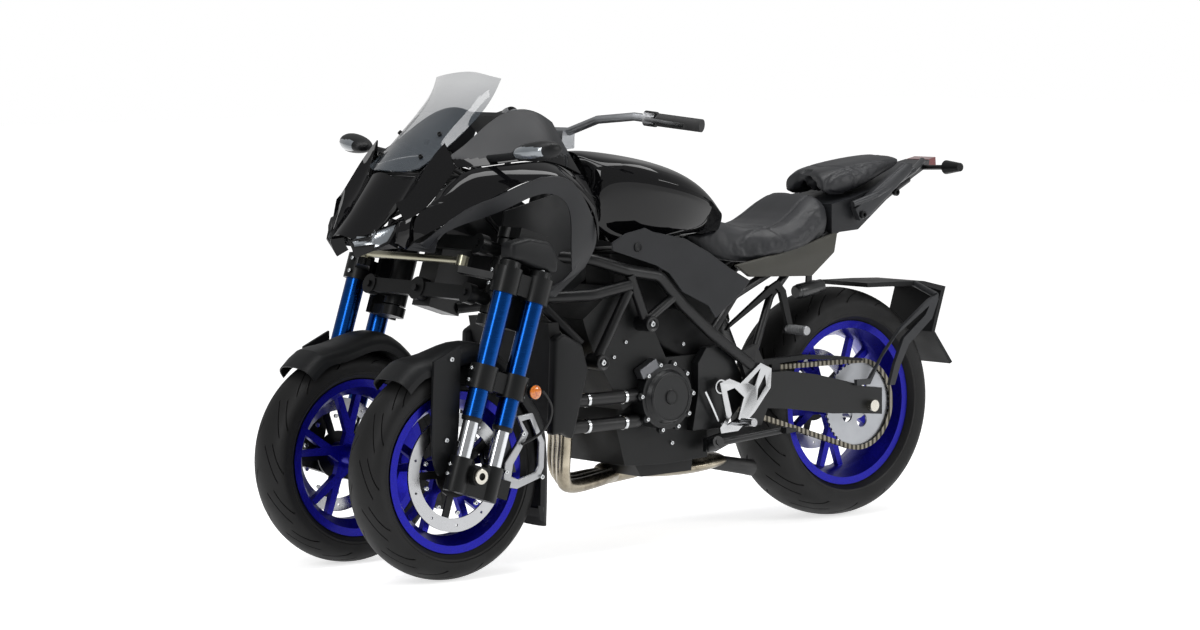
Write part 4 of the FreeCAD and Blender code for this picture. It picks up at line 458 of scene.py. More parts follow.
outlet = turned_part("silencer_outlet", [(0, -0.03), (0.0175, -0.028), (0.0185, 0), (0.0215, 0.001),
                                         (0.023, -0.002), (0.0215, -0.03), (0.02, -0.15)],
                     OUTLET, OUTLET - BOX_END, 32)
clothe(outlet, heat_paint, "chassis", "muffler_dark")

# Swingarm: a cast and welded aluminium beam with satin charcoal paint, which keeps a soft edge of
# light along the beam. The chain guard is a matte moulding, and so is the mudguard on its cast arm.
arm_paint = grained("satin_charcoal_paint", "0E0F10", "161718", (0.3, 0.4), 1.5, 0.05,
                    Specular_IOR_Level=0.28)
ease("swingarm", 0.003, arm_paint, "chassis", "dark_alloy")
ease("chain_guard", 0.0015, moulded_grey, "chassis", "matte_grey")
guard_arm = grained("satin_grey_casting", "2E2F31", "3D3E40", (0.32, 0.42), 1.2, 0.05, Metallic=0.4,
                    Specular_IOR_Level=0.3)
second_finish(ease("rear_mudguard", 0.0015, moulded_grey, "chassis", "matte_grey"), guard_arm,
              lambda at, normal: at.y > 0.1)

# Chain and sprocket: oiled steel links on hardened rollers, and an anodised aluminium wheel of teeth.
# Light and dark bands 15.9 mm apart, the pitch of the chain, read as its links.
chain_steel = grained("oiled_chain_steel", "4A4843", "77736B", (0.28, 0.5), 2.0, 0.05, Metallic=1.0)
tree = chain_steel.node_tree
links = add_node(tree, "TexWave", {"Vector": add_node(tree, "TexCoord").outputs["Object"], "Scale": 19.8},
                 wave_type="BANDS", bands_direction="X")
coloured(tree, tree.nodes["Principled BSDF"], links.outputs["Fac"], "24221D", "8A857A")
dress("drive_chain", chain_steel, "chassis", "chain_steel")
sprocket_alloy = grained("anodised_sprocket", "8E9094", "ADAFB3", (0.3, 0.4), 1.0, 0.03, Metallic=1.0)
dress("rear_sprocket", sprocket_alloy, "rear_wheel", "silver")

# Rear damper with its coil spring in dark lacquer, its reservoir strapped to the frame tube, and
# the nickel-plated rear axle, which stays bright between the dark castings.
spring_black = grained("spring_lacquer", "141516", "1E1F20", (0.25, 0.35), 1.5, 0.03)
dress("rear_shock", spring_black, "chassis", "spring")
nickel = grained("nickel_plate", "B4B0A6", "C9C6BD", (0.16, 0.26), 0.8, 0.02, Metallic=1.0)
dress("rear_axle", nickel, "chassis", "silver")
can = turned_part("damper_reservoir", [(0, 0), (0.016, 0), (0.0185, 0.003), (0.0185, 0.012), (0.0205, 0.014),
                                       (0.0205, 0.075), (0.0185, 0.078), (0.0185, 0.098), (0.016, 0.101),
                                       (0, 0.101)], (-0.4855, 0.09, 0.642), (-0.1, 0, 0.013), 32)
clothe(can, spring_black, "chassis", "spring")
strap = plate("reservoir_strap", [(-0.524, 0.638), (-0.546, 0.64), (-0.55, 0.762), (-0.534, 0.762)],
              0.086, 0.093, 0.001)
clothe(strap, powder_coat, "chassis", "frame_black")

# Wheels: cast aluminium rims in deep violet-blue lacquer under a clear coat.
# A fine metal flake in the lacquer makes the spokes glint where they turn to the light.
AXLE_FRONT = Vector((0.8142, 0.205, 0.2745))
AXLE_REAR = Vector((-0.6958, 0, 0.32))
rim_lacquer, tree, shader, place = new_finish("violet_blue_wheel_lacquer", Metallic=0.85, Coat_Weight=0.12,
                                              Coat_Roughness=0.1)
flake = add_node(tree, "TexVoronoi", {"Vector": place, "Scale": 900.0}).outputs["Color"]
coloured(tree, shader, flake, "0B0A66", "1715AA")
ranged(tree, shader, "Roughness", flake, 0.0, 1.0, 0.25, 0.42)
for node, body in (("rear_rim", "rear_wheel"), ("front_rim_left", "front_wheel_left"),
                   ("front_rim_right", "front_wheel_right")):
    dress(node, rim_lacquer, body, "rim_blue")

# Brake discs: ground stainless bands, drilled, on dark anodised carriers.
# Ten bright floating buttons on each front disc sit where the band meets its carrier.
disc_steel = grained("ground_stainless", "9A9B9D", "B9BABC", (0.22, 0.34), 0.8, 0.02, Metallic=1.0)
carrier_black = grained("anodised_disc_carrier", "0C0C0D", "151516", (0.3, 0.4), 1.0, 0.03, Metallic=0.6)
CARRIER_RADIUS = 0.098


def brake_disc(node, axle, body):
    """A disc with its carrier's finish inside the band."""
    second_finish(dress(node, disc_steel, body, "disc_steel"), carrier_black,
                  lambda at, normal: math.hypot(at.x - axle.x, at.z - axle.z) < CARRIER_RADIUS)


brake_disc("rear_disc", AXLE_REAR, "rear_wheel")
for side, mark in ((1, "left"), (-1, "right")):
    brake_disc("front_disc_" + mark, AXLE_FRONT, "front_wheel_" + mark)
    buttons = ring_of(AXLE_FRONT.x, 0.2555 * side, AXLE_FRONT.z, 0.1, range(18, 378, 36))
    screws("disc_buttons_" + mark, [(at, (0, side, 0), 0.0058) for at in buttons], zinc,
           "front_wheel_" + mark, "silver")

# Tyres: black road rubber, moulded with swept grooves that run from the crown to the shoulder,
# and a plain side wall with raised rings above the bead.
SHOULDER_SHARE, CROWN_POWER, CROWN_ROWS = 0.46, 0.94, 30
LONG_CUT, SHORT_CUT, SWEEP = (10, 52), (34, 74), 1.25


def road_tyre(name, centre, radius, width, lip, bead_half, pitches, columns):
    """A treaded tyre: spun section, sheared columns, and grooves sunk into chosen cells."""
    shoulder = lip + (radius - lip) * SHOULDER_SHARE
    turns = [math.radians(-90 + 180 * i / CROWN_ROWS) for i in range(CROWN_ROWS + 1)]
    crown = [(shoulder + (radius - shoulder) * math.cos(t) ** CROWN_POWER, width / 2 * math.sin(t))
             for t in turns]
    wall = [(shoulder - 0.012, 0.497 * width), (lip + 0.019, 0.48 * width), (lip + 0.017, 0.485 * width),
            (lip + 0.013, 0.485 * width), (lip + 0.011, 0.47 * width), (lip + 0.002, bead_half + 0.002),
            (lip - 0.004, bead_half)]
    line = [(r, -y) for r, y in reversed(wall)] + crown + wall
    piece = spun(name, [(centre.x + r, centre.y + y, centre.z) for r, y in line], pitches * columns,
                 centre, LEFT)
    tyre = bmesh.new()
    tyre.from_mesh(piece.data)
    pitch = 2 * math.pi / pitches
    grooves = set()
    for face in tyre.faces:
        at = face.calc_center_median() - centre
        column = int(math.floor((math.atan2(at.z, at.x) % (2 * math.pi)) / (pitch / columns)))
        height = (math.hypot(at.x, at.z) - shoulder) / (radius - shoulder)
        across = math.degrees(math.acos(max(-1, min(1, height)))) if height > 0 else 99
        own = (column + (0 if at.y < 0 else columns // 2)) % columns
        long_cut = own == 0 and LONG_CUT[0] < across < LONG_CUT[1]
        short_cut = own == columns // 2 and SHORT_CUT[0] < across < SHORT_CUT[1]
        if long_cut or short_cut:
            grooves.add(face)
    for vert in tyre.verts:
        at = vert.co - centre
        shear = pitch * SWEEP * (abs(at.y) / (width / 2)) ** 1.5
        vert.co = centre + Matrix.Rotation(shear, 3, "Y") @ at
    for face in tyre.faces:
        face.select = face in grooves
    tyre.to_mesh(piece.data)
    tyre.free()
    only(piece)
    bpy.ops.object.mode_set(mode="EDIT")
    bpy.ops.mesh.select_mode(type="FACE")
    bpy.ops.mesh.inset(thickness=0.0012, depth=-0.0035, use_even_offset=True)
    bpy.ops.object.mode_set(mode="OBJECT")
    smooth_to(38)
    return piece


tyre_rubber = grained("moulded_tyre_rubber", "0B0B0C", "131313", (0.5, 0.66), 1.2, 0.08,
                      Specular_IOR_Level=0.25)
for side, mark in ((1, "left"), (-1, "right")):
    centre = Vector((AXLE_FRONT.x, AXLE_FRONT.y * side, AXLE_FRONT.z))
    tyre = road_tyre("front_tread_" + mark, centre, radius=0.2744, width=0.1219, lip=0.2038, bead_half=0.044,
                     pitches=14, columns=16)
    clothe(tyre, tyre_rubber, "front_wheel_" + mark, "tyre", "front_tyre_" + mark)
tyre = road_tyre("rear_tread", AXLE_REAR, radius=0.3199, width=0.1939, lip=0.2293, bead_half=0.071,
                 pitches=16, columns=16)
clothe(tyre, tyre_rubber, "rear_wheel", "tyre", "rear_tyre")

# Forks: blue anodised outer tubes, chromed inner legs and cast black clamps and axle feet.
# The drawn tubes carry faint turned rings around their length.
RAKE = math.radians(18.5)
FORK_UP = Vector((-math.sin(RAKE), 0, math.cos(RAKE)))
FORK_AHEAD = Vector((math.cos(RAKE), 0, math.sin(RAKE)))
FORK_FOOT = Vector((AXLE_FRONT.x, 0, AXLE_FRONT.z)) - FORK_AHEAD * 0.0244
FORK_Y = 0.313
TUBE_LEADS = (0.062, -0.039)
FORK_CAP = [(0, 0.004), (0.0185, 0.004), (0.0205, 0.0055), (0.0255, 0.004), (0.0272, 0.001), (0.0272, -0.03)]
DUST_SEAL = [(0.021, -0.006), (0.0245, -0.0045), (0.0266, 0.0), (0.0266, 0.006), (0.0235, 0.008),
             (0.021, 0.008)]
PINCH_ROWS = [(0.0985, 0.016, (0.474, 0.508), 0.0052), (0.0985, 0, (0.226, 0.256), 0.0052),
              (-0.0755, 0, (0.226, 0.256), 0.0052), (0.0915, 0, (-0.012, 0.012), 0.005)]
CLAMP_COVER = [(0.692, 0.8), (0.69, 0.846), (0.631, 0.856), (0.56, 0.842), (0.537, 0.8), (0.54, 0.76),
               (0.6, 0.775), (0.655, 0.798)]
BRAKE_HOSE = [(0.6, 0.336, 0.4694), (0.585, 0.34, 0.452), (0.566, 0.335, 0.42), (0.57, 0.32, 0.378),
              (0.6, 0.305, 0.348), (0.64, 0.3, 0.335)]
AXLE_COLLAR = [(0.0095, -0.002), (0.0095, 0.0075), (0.0175, 0.0075), (0.0195, 0.0055), (0.0195, -0.002)]
REFLECTOR = [(0, 0.0075), (0.008, 0.0072), (0.014, 0.0058), (0.0175, 0.003), (0.0175, 0.0), (0, 0.0)]
REFLECTOR_CUP = [(0, 0.001), (0.0195, 0.001), (0.0205, -0.002), (0.0195, -0.008), (0, -0.012)]
STAY_SCREWS = [(0.6321, 0.3605, 0.0062), (0.6876, 0.2687, 0.0058), (0.6867, 0.2377, 0.0058),
               (0.5735, 0.2467, 0.0062)]


def on_fork(lead, across, height):
    """A point by its distance ahead of the fork's axis, y, and height along it."""
    return FORK_FOOT + FORK_AHEAD * lead + Vector((0, across, 0)) + FORK_UP * height


def moulded_copy(node, levels=2):
    """A fair copy of a panel made smooth: its facets joined to quads, sharp rims held, subdivided."""
    piece = fair_copy(node)
    edit_all()
    bpy.ops.mesh.tris_convert_to_quads(face_threshold=math.radians(28), shape_threshold=math.radians(75))
    bpy.ops.mesh.select_all(action="DESELECT")
    bpy.ops.mesh.select_mode(type="EDGE")
    bpy.ops.mesh.edges_select_sharp(sharpness=math.radians(48))
    bpy.ops.transform.edge_crease(value=1.0)
    bpy.ops.object.mode_set(mode="OBJECT")
    modified(piece, "SUBSURF", levels=levels, render_levels=levels)
    smooth_to(40)
    return piece


def seated(piece, near):
    """The point of a piece nearest to a place, and the direction its surface faces there."""
    return piece.closest_point_on_mesh(Vector(near))[1:3]


anodised_blue, tree, shader, place = new_finish("blue_anodised_tube", Metallic=1.0)
turning = add_node(tree, "Mapping", {"Vector": place, "Rotation": (0, -RAKE, 0), "Scale": (30, 30, 900)})
rings = add_node(tree, "TexNoise", {"Vector": turning.outputs[0], "Scale": 1.0, "Detail": 3.0}).outputs[0]
coloured(tree, shader, rings, "072C68", "164E96")
ranged(tree, shader, "Roughness", rings, 0.3, 0.7, 0.16, 0.28)
chrome = grained("hard_chrome", "B9BBBE", "CDCFD2", (0.05, 0.1), 1.0, 0.004, Metallic=1.0)
cast_black = grained("black_painted_casting", "090A0A", "101112", (0.32, 0.44), 1.3, 0.1,
                     Specular_IOR_Level=0.22)
caliper_grey = grained("anodised_caliper", "24262A", "34363B", (0.28, 0.38), 1.2, 0.05, Metallic=0.8)
bare_cast = grained("bare_machined_aluminium", "8F9092", "ABACAE", (0.3, 0.44), 1.6, 0.16, Metallic=1.0)
amber_lens, tree, shader, place = new_finish("moulded_amber_acrylic", Roughness=0.12, Coat_Weight=1.0,
                                             Coat_Roughness=0.04)
cube_corners = add_node(tree, "TexVoronoi", {"Vector": place, "Scale": 260.0}).outputs["Distance"]
coloured(tree, shader, cube_corners, "F08A10", "B04A04")
for side, mark in ((1, "left"), (-1, "right")):
    body = "fork_" + mark
    across = FORK_Y * side
    out = Vector((0, side, 0))
    dress("fork_tubes_" + mark, anodised_blue, body, "fork_blue")
    dress("fork_legs_" + mark, chrome, body, "chrome")
    ease("fork_castings_" + mark, 0.0022, cast_black, body, "frame_black")
    ease("front_caliper_" + mark, 0.0025, caliper_grey, body, "dark_alloy")
    ease("caliper_stay_" + mark, 0.0028, bare_cast, body, "silver")
    guard = clothe(moulded_copy("front_mudguard_" + mark, 1), moulded_grey, body, "matte_grey",
                   "front_mudguard_" + mark)
    for name, line, height in (("fork_caps_", FORK_CAP, 0.5365), ("fork_seals_", DUST_SEAL, 0.133)):
        pair = [turned_part("collar", line, on_fork(lead, across, height), FORK_UP, 32) for lead in TUBE_LEADS]
        clothe(gathered(name + mark, pair), cast_black, body, "frame_black")
    pinch = [(on_fork(lead, across - side * inward, height), FORK_AHEAD * math.copysign(1, lead), size)
             for lead, inward, heights, size in PINCH_ROWS for height in heights]
    pinch += [(on_fork(lead, across, 0.54), FORK_UP, 0.0095) for lead in TUBE_LEADS]
    screws("fork_screws_" + mark, pinch, zinc, body, "silver")
    cover = plate("clamp_cover_" + mark, CLAMP_COVER, side * 0.28, side * 0.332, 0.014, 4)
    clothe(cover, moulded_grey, body, "matte_grey")
    hose = pipe("brake_hose_" + mark, [(x, side * y, z) for x, y, z in BRAKE_HOSE], 0.0034)
    clothe(hose, hose_rubber, body, "frame_black")
    bolts = [seated(guard, near) for near in ((0.8484, side * 0.29, 0.5635), (0.8672, side * 0.29, 0.3632))]
    screws("mudguard_bolts_" + mark, [(at, normal, 0.0065) for at, normal in bolts], zinc, body, "silver")
    axle_end = (AXLE_FRONT.x, side * (FORK_Y + 0.042), AXLE_FRONT.z)
    clothe(turned_part("axle_collar", AXLE_COLLAR, axle_end, out, 32), nickel, body, "silver")
    lamp = Vector((0.6294, side * 0.343, 0.4694))
    clothe(turned_part("side_reflector", REFLECTOR, lamp, out, 32), amber_lens, body, "silver")
    clothe(turned_part("reflector_cup", REFLECTOR_CUP, lamp, out, 32), cast_black, body, "frame_black")
    screws("stay_screws_" + mark, [((x, side * 0.294, z), out, size) for x, z, size in STAY_SCREWS], zinc,
           body, "silver")
ease("rear_caliper", 0.0025, caliper_grey, "chassis", "dark_alloy")

# Lean linkage: forged arms and the posts that carry the forks, in black paint over a cast grain.
# The bare tie rod between the forks shows as one warm, bright line under the nose.
ease("lean_arms", 0.002, cast_black, "chassis", "frame_black")
ease("kingpin_posts", 0.002, cast_black, "chassis", "frame_black")
olive_alloy = grained("clear_anodised_rod", "8F8C78", "A8A594", (0.26, 0.36), 1.0, 0.03, Metallic=1.0)
dress("tie_rod", olive_alloy, "tie_rod", "silver")

# Fairing: injection-moulded panels in deep black lacquer, polished, with matte grey trims round
# the wheel arches. The clear coat mirrors the studio in long soft bands.
CHEEK = [(0.9, 0.9), (0.8859, 0.905), (0.86, 0.915), (0.845, 0.915), (0.85, 0.86), (0.8813, 0.83),
         (0.91, 0.848), (0.908, 0.88)]
INNER = [(0.56, 0.8), (0.54, 0.91), (0.36, 0.95), (0.26, 0.885), (0.275, 0.72), (0.36, 0.67), (0.5, 0.675),
         (0.56, 0.7)]
gloss_lacquer, tree, shader, place = new_finish("deep_black_lacquer", Coat_Weight=0.65, Coat_Roughness=0.02,
                                                Roughness=0.4, Specular_IOR_Level=0.0)
flake = add_node(tree, "TexVoronoi", {"Vector": place, "Scale": 1200.0})
coloured(tree, shader, flake.outputs["Color"], "060607", "0D0D0F")
peel = add_node(tree, "TexNoise", {"Vector": place, "Scale": 160.0, "Detail": 2.0})
relief = add_node(tree, "Bump", {"Height": peel.outputs[0], "Strength": 0.12, "Distance": 0.00006})
tree.links.new(relief.outputs[0], shader.inputs["Coat Normal"])
clothe(moulded_copy("nose_cowl"), gloss_lacquer, "chassis", "gloss_black", "nose_cowl")
cowls = clothe(moulded_copy("side_cowls"), gloss_lacquer, "chassis", "gloss_black", "side_cowls")
matte_trim = grained("matte_grey_moulding", "191A1C", "232427", (0.36, 0.46), 0.9, 0.05,
                     Specular_IOR_Level=0.26)
second_finish(cowls, matte_trim, lambda at, normal: at.z > 1.052 and abs(at.y) > 0.12 and at.x < 0.745)
clothe(moulded_copy("arch_trims"), matte_trim, "chassis", "matte_grey", "arch_trims")
plate_pair("lamp_cheeks", CHEEK, 0.112, 0.15, 0.003, 2, gloss_lacquer, "gloss_black")
plate_pair("inner_panels", INNER, 0.106, 0.112, 0.002, 2, moulded_grey, "matte_grey")

# Fuel tank: pressed steel under the same deep black lacquer, with its long soft reflections.
# Its side covers are moulded and matte, each with a round plug where it is screwed on.
PLUG = [(0, 0.001), (0.009, 0.001), (0.0115, 0.0028), (0.013, 0.0005), (0.013, -0.003)]
clothe(moulded_copy("fuel_tank"), gloss_lacquer, "chassis", "gloss_black", "fuel_tank")
ease("tank_side_covers", 0.006, matte_trim, "chassis", "matte_grey")
plugs = [turned_part("cover_plug", PLUG, (0.166, 0.1955 * side, 0.8032), (0, side, 0), 32)
         for side in (1, -1)]
clothe(gathered("side_cover_plugs", plugs), moulded_grey, "chassis", "matte_grey")

# Saddle: moulded foam under stretched dark-grey vinyl, sewn across and along its edges.
# A fine leather-like grain takes the shine off the vinyl; olive mouldings close it off below.
PAD_DRAWN_IN, PAD_RISE, PAD_VOXEL, PAD_FRAMES = 0.005, 0.008, 0.0055, 20
SEAT_TRIM = [(-0.2251, 0.7321), (-0.3849, 0.7568), (-0.5988, 0.8032), (-0.5873, 0.7493), (-0.5029, 0.6883),
             (-0.2754, 0.6981)]


def blown_pad(node):
    """A seat pad: its CAD form drawn in a little, then blown up as stretched cloth over foam."""
    pad = fair_copy(node)
    modified(pad, "REMESH", mode="VOXEL", voxel_size=PAD_VOXEL)
    edit_all()
    bpy.ops.mesh.vertices_smooth(factor=0.6, repeat=5)
    bpy.ops.transform.shrink_fatten(value=-PAD_DRAWN_IN)
    bpy.ops.object.mode_set(mode="OBJECT")
    start = [vert.co.copy() for vert in pad.data.vertices]
    cloth = pad.modifiers.new("cloth", "CLOTH")
    cloth.settings.use_pressure = True
    cloth.settings.uniform_pressure_force = 4
    cloth.settings.effector_weights.gravity = 0
    for number in range(1, PAD_FRAMES + 1):
        bpy.context.scene.frame_set(number)
    bpy.ops.object.modifier_apply(modifier="cloth")
    bpy.context.scene.frame_set(1)
    for vert, was in zip(pad.data.vertices, start):
        moved = vert.co - was
        if moved.length > PAD_RISE:
            vert.co = was + moved * (PAD_RISE / moved.length)
    bpy.ops.object.shade_smooth()
    return pad


def sewn_line(pad, height, depth, width):
    """Draws the cover in along a sewn line: a narrow furrow where a height test is near zero."""
    for vert in pad.data.vertices:
        off = abs(height(vert.co))
        if off < width:
            vert.co -= vert.normal * depth * (1 - (off / width) ** 2)


vinyl = grained("embossed_seat_vinyl", "17181A", "212226", (0.46, 0.58), 2.2, 0.16,
                Specular_IOR_Level=0.45)
rider = blown_pad("rider_seat")
sewn_line(rider, lambda at: at.x + 0.318 + abs(at.y) * 0.55, 0.0035, 0.006)
sewn_line(rider, lambda at: abs(at.y) - 0.098 - (at.x + 0.35) * 0.12 if at.z > 0.79 else 1, 0.003, 0.005)
clothe(rider, vinyl, "chassis", "seat_vinyl", "rider_seat")
pillion = blown_pad("passenger_seat")
sewn_line(pillion, lambda at: abs(at.y) - 0.082 if at.z > 0.9 else 1, 0.003, 0.005)
sewn_line(pillion, lambda at: at.x + 0.66 + abs(at.y) * 0.4, 0.003, 0.005)
clothe(pillion, vinyl, "chassis", "seat_vinyl", "passenger_seat")
olive_trim = grained("olive_grey_moulding", "34332E", "42413B", (0.4, 0.5), 0.9, 0.05, Specular_IOR_Level=0.3)
plate_pair("seat_trims", SEAT_TRIM, 0.126, 0.142, 0.004, 3, olive_trim, "matte_grey")

# Tail: a matte moulding under the saddle, with cast grab rails bolted on and lamps on stalks.
# The red and amber lenses are the only warm colours behind the saddle.
RAIL = [(-0.6671, 0.8671), (-0.8594, 0.9875), (-0.8905, 0.9836), (-0.8827, 0.9587), (-0.7242, 0.8457),
        (-0.686, 0.8303)]
RAIL_BOLTS = [(-0.8399, 0.117, 0.9037), (-0.69, 0.141, 0.8486)]
dress("tail_cowl", matte_trim, "chassis", "matte_grey")
ease("grab_rails", 0.003, guard_arm, "chassis", "dark_alloy")
plate_pair("grab_rail_caps", RAIL, 0.118, 0.142, 0.005, 3, guard_arm, "dark_alloy")
screws("grab_rail_bolts", [((x, side * y, z), (0, side, 0), 0.0105) for x, y, z in RAIL_BOLTS
                           for side in (1, -1)], cast_black, "chassis", "frame_black")
lens_red = grained("red_lamp_lens", "5A0A0C", "74100F", (0.08, 0.14), 3.0, 0.05, Coat_Weight=1.0)
lamps = dress("rear_lamps", cast_black, "chassis", "tail_lens")
second_finish(lamps, lens_red, lambda at, normal: abs(at.y) < 0.045 and at.x < -1.02)
second_finish(lamps, amber_lens, lambda at, normal: abs(at.y) > 0.15 and normal.x < -0.3)

# Headlamps: clear ribbed polycarbonate, bonded over a dark bowl with a narrow rim.
# The lenses are painted pale grey, a painted reflection of the studio, so that they show as pale slits in the
# black nose; their clear coat reflects the studio as well.
lamp_bowl = grained("dark_lamp_bowl", "060607", "0B0C0D", (0.3, 0.4), 2.0, 0.03, Specular_IOR_Level=0.2)
# Painted reflection: the clear lens gets a pale grey colour that stands in for the studio it mirrors.
lamp_glass_painted_reflection = grained("ribbed_polycarbonate_painted_reflection", "565B5F", "8E949A", (0.06, 0.12), 5.0, 0.3, Coat_Weight=1.0,
                     Metallic=0.4)
lamps = fair_copy("headlamps")
edit_all()
bpy.ops.mesh.tris_convert_to_quads(face_threshold=math.radians(40), shape_threshold=math.radians(75))
bpy.ops.mesh.select_all(action="DESELECT")
bpy.ops.object.mode_set(mode="OBJECT")
for face in lamps.data.polygons:
    face.select = face.normal.x > 0.35 and face.normal.z > -0.2
bpy.ops.object.mode_set(mode="EDIT")
bpy.ops.mesh.select_mode(type="FACE")
bpy.ops.mesh.inset(thickness=0.007, depth=0, use_even_offset=False)
bpy.ops.mesh.inset(thickness=0.002, depth=-0.003, use_even_offset=False)
bpy.ops.object.mode_set(mode="OBJECT")
clothe(lamps, lamp_bowl, "chassis", "lamp_lens", "headlamps")
lamps.data.materials.append(lamp_glass_painted_reflection)
for face in lamps.data.polygons:
    face.material_index = int(face.select)

# Windscreen: smoked clear polycarbonate, 3.5 mm thick, with a polished edge, on four dark screws.
# The smoke thins out towards the top edge, where the backdrop shows through it.
smoked, tree, shader, place = new_finish("smoked_polycarbonate", IOR=1.49, Roughness=0.02, Alpha=0.42,
                                         Coat_Weight=1.0, Coat_Roughness=0.02)
haze = add_node(tree, "TexNoise", {"Vector": place, "Scale": 9.0, "Detail": 2.0})
coloured(tree, shader, haze.outputs[0], "3A4046", "4A5158")
height = add_node(tree, "SeparateXYZ", {"Vector": place}).outputs["Z"]
ranged(tree, shader, "Alpha", height, 1.04, 1.24, 0.66, 0.3)
screen = clothe(moulded_copy("windscreen"), smoked, "chassis", "screen_smoke", "windscreen")
spots = [seated(screen, (x, side * 0.1, z)) for x, z in ((0.75, 1.1412), (0.8104, 1.0878))
         for side in (1, -1)]
screws("screen_screws", [(at, normal, 0.006) for at, normal in spots], cast_black, "chassis", "frame_black")

# Cockpit: a moulded instrument panel, mirrors on stalks, and a shot-blasted bar clamped to the stem.
# The bar stays pale and soft, and its rubber grips have hardly any shine.
HOUSING = [((0.6615, 0.318, 1.0641), 0.0238, 0.011), ((0.6562, 0.35, 1.0711), 0.0403, 0.0238),
           ((0.6443, 0.412, 1.0763), 0.0422, 0.0278), ((0.6324, 0.446, 1.0792), 0.0238, 0.0168)]
STALK = [(0.6562, 0.192, 1.0502), (0.652, 0.25, 1.054), (0.65, 0.34, 1.066)]
dress("instrument_panel", moulded_grey, "chassis", "matte_grey")
housings, stalks = [], []
for side in (1, -1):
    rings = [((x, side * y, z), half, rise) for (x, y, z), half, rise in HOUSING]
    housings.append(swelled("mirror_housing", rings, crosswise=True))
    stalks.append(pipe("mirror_stalk", [(x, side * y, z) for x, y, z in STALK], 0.01))
mirror = clothe(gathered("mirror_pair", housings + stalks), moulded_grey, "chassis", "matte_grey", "mirrors")
# The front faces of the mirror housings take the same pale grey lens finish, a painted reflection of the
# studio.
second_finish(mirror, lamp_glass_painted_reflection,
              lambda at, normal: normal.x > 0.55 and 0.345 < abs(at.y) < 0.43 and at.z < 1.086)
bar_alloy = grained("shot_blasted_bar", "8B8D90", "A3A5A8", (0.3, 0.4), 1.0, 0.04, Metallic=1.0)
dress("handlebar", bar_alloy, "steering", "silver")
grip_rubber = grained("grip_rubber", "121213", "1A1A1B", (0.6, 0.75), 1.5, 0.2)
dress("hand_grips", grip_rubber, "steering", "rubber")
second_finish(dress("hand_controls", cast_black, "steering", "silver"), bare_cast,
              lambda at, normal: at.x > 0.215)

# Foot controls: forged aluminium plates, polished so that they stand out from the dark frame, with
# windows cut through them. The passenger's pegs are painted castings, the side stand coated steel.
WINDOWS = [[(-0.22, 0.4198), (-0.2656, 0.4551), (-0.2439, 0.4081)],
           [(-0.2561, 0.4001), (-0.282, 0.4379), (-0.286, 0.4081), (-0.252, 0.3682)],
           [(-0.2058, 0.3816), (-0.1854, 0.327), (-0.1446, 0.3102), (-0.1616, 0.3396), (-0.1446, 0.4026),
            (-0.1718, 0.4089)]]
HEEL_RING = [(0.0155, -0.003), (0.0155, 0.003), (0.0195, 0.003), (0.0195, -0.003), (0.0155, -0.003)]
PEG_ROOT, PEG_CREST, NOTCH = 0.0122, 0.0132, 0.01
peg_line = [(0, 0), (PEG_ROOT, 0)]
for start in [notch * NOTCH for notch in range(7)]:
    peg_line += [(PEG_ROOT, 0.006 + start), (PEG_CREST, 0.0075 + start), (PEG_CREST, 0.0125 + start),
                 (PEG_ROOT, 0.014 + start)]
peg_line += [(PEG_ROOT, 0.0765), (0.0105, 0.0785), (0, 0.0785)]
polished_plate = grained("polished_forged_plate", "9A9B9D", "C2C3C4", (0.14, 0.26), 1.2, 0.03, Metallic=1.0)
cutters = [plate("window", window, 0.16 * side, 0.22 * side) for window in WINDOWS for side in (1, -1)]
clothe(eased_copy("foot_controls", 0.0016, cutters), polished_plate, "chassis", "silver", "foot_controls")
for cutter in cutters:
    bpy.data.objects.remove(cutter)
ring = turned_part("heel_ring", HEEL_RING, (-0.1246, 0.188, 0.4155), LEFT, 40)
clothe(ring, polished_plate, "chassis", "silver")
rod = [(-0.0851, 0.172, 0.4045), (-0.105, 0.173, 0.37), (-0.1315, 0.172, 0.3214)]
clothe(pipe("gear_linkage", rod, 0.0038), zinc, "chassis", "silver")
ease("passenger_footpegs", 0.002, cast_black, "chassis", "silver")
treads = [turned_part("peg_tread", peg_line, (-0.4158, 0.137 * side, 0.548), (0, side, 0), 20)
          for side in (1, -1)]
clothe(gathered("passenger_peg_treads", treads), bare_cast, "chassis", "silver")
dress("side_stand", powder_coat, "side_stand", "frame_black")

# Studio: a matt white painted floor that glows softly to the lens, so that it meets the backdrop
# with no edge and still takes the wheels' shadows.
FLOOR_GLOW = 0.66
floor_paint, tree, shader, place = new_finish("matt_studio_floor", Roughness=0.9)
dust = add_node(tree, "TexNoise", {"Vector": place, "Scale": 3.0, "Detail": 3.0})
coloured(tree, shader, dust.outputs[0], "F0F0F0", "F6F6F6")
rays = add_node(tree, "LightPath")
seen = add_node(tree, "Math", {0: rays.outputs["Is Camera Ray"], 1: rays.outputs["Is Glossy Ray"]},
                operation="MAXIMUM")
seen = add_node(tree, "Math", {0: seen.outputs[0], 1: rays.outputs["Is Transmission Ray"]},
                operation="MAXIMUM")
lift = add_node(tree, "Math", {0: seen.outputs[0], 1: FLOOR_GLOW}, operation="MULTIPLY")
glow = add_node(tree, "Emission", {"Color": hex_colour("FFFFFF"), "Strength": lift.outputs[0]})
both = add_node(tree, "AddShader", {0: shader.outputs[0], 1: glow.outputs[0]})
tree.links.new(both.outputs[0], tree.nodes["Material Output"].inputs["Surface"])
bpy.ops.object.select_all(action="DESELECT")
bpy.ops.mesh.primitive_plane_add(size=60, location=(0, 0, -0.0005))
floor = bpy.context.object
floor.name = "studio_floor"
bpy.ops.object.transform_apply(location=True)
floor.data.materials.append(floor_paint)

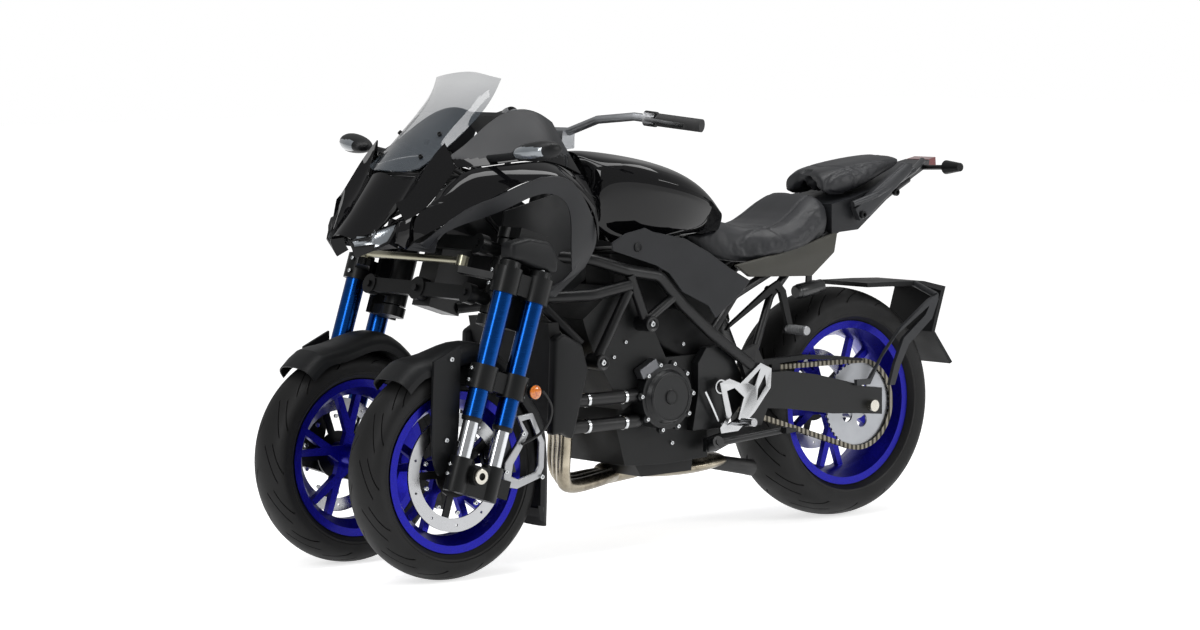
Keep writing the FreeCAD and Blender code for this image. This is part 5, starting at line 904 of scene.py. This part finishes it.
# Backdrop and lamps: a world that looks pure white to the lens and lights the object at under half
# that strength, with one long lamp overhead and two on the left.
world = bpy.data.worlds.new("studio")
bpy.context.scene.world = world
world.use_nodes = True
tree = world.node_tree
tree.nodes.clear()
rays = add_node(tree, "LightPath")
seen = add_node(tree, "Math", {0: rays.outputs["Is Camera Ray"], 1: rays.outputs["Is Transmission Ray"]},
                operation="MAXIMUM")
sky = add_node(tree, "Background", {"Color": hex_colour("FFFFFF")})
ranged(tree, sky, "Strength", seen.outputs[0], 0.0, 1.0, 0.45, 1.0)
add_node(tree, "OutputWorld", {"Surface": sky.outputs[0]})
LAMPS = [("overhead", (0.0, 0.4, 3.4), (0.0, 0, 0.4), (4.6, 0.9), 75),
         ("front_left", (4.2, 1.6, 2.6), (0.5, 0, 0.6), (0.9, 2.4), 60),
         ("rear_left", (-3.0, 4.2, 2.4), (-0.3, 0, 0.6), (2.4, 1.2), 75)]
for name, spot, aim, size, power in LAMPS:
    bpy.ops.object.light_add(type="AREA", location=spot)
    lamp = bpy.context.object
    lamp.name = name
    lamp.data.shape = "RECTANGLE"
    lamp.data.size, lamp.data.size_y = size
    lamp.data.energy = power
    lamp.rotation_euler = (Vector(aim) - Vector(spot)).to_track_quat("-Z", "Y").to_euler()

# Camera: a long lens at chest height, in front on the left, aimed just above the engine.
# It leans by half a degree, as the photograph does.
AZIMUTH, ELEVATION, ROLL = math.radians(50.5147), math.radians(4.9612), math.radians(-0.4776)
AIM, DISTANCE = Vector((0.1345, 0, 0.6118)), 9.7577
back = Vector((math.cos(ELEVATION) * math.cos(AZIMUTH), math.cos(ELEVATION) * math.sin(AZIMUTH),
               math.sin(ELEVATION)))
level = (-back).cross(Vector((0, 0, 1))).normalized()
plumb = level.cross(-back)
right = level * math.cos(ROLL) + plumb * math.sin(ROLL)
up = plumb * math.cos(ROLL) - level * math.sin(ROLL)
bpy.ops.object.camera_add()
camera = bpy.context.object
turn = Matrix((right, up, back)).transposed().to_4x4()
camera.matrix_world = Matrix.Translation(AIM + back * DISTANCE) @ turn
camera.data.lens = 110.15
camera.data.sensor_width = 36
camera.data.clip_end = 200
bpy.context.scene.camera = camera
bpy.context.scene.view_settings.view_transform = "Standard"
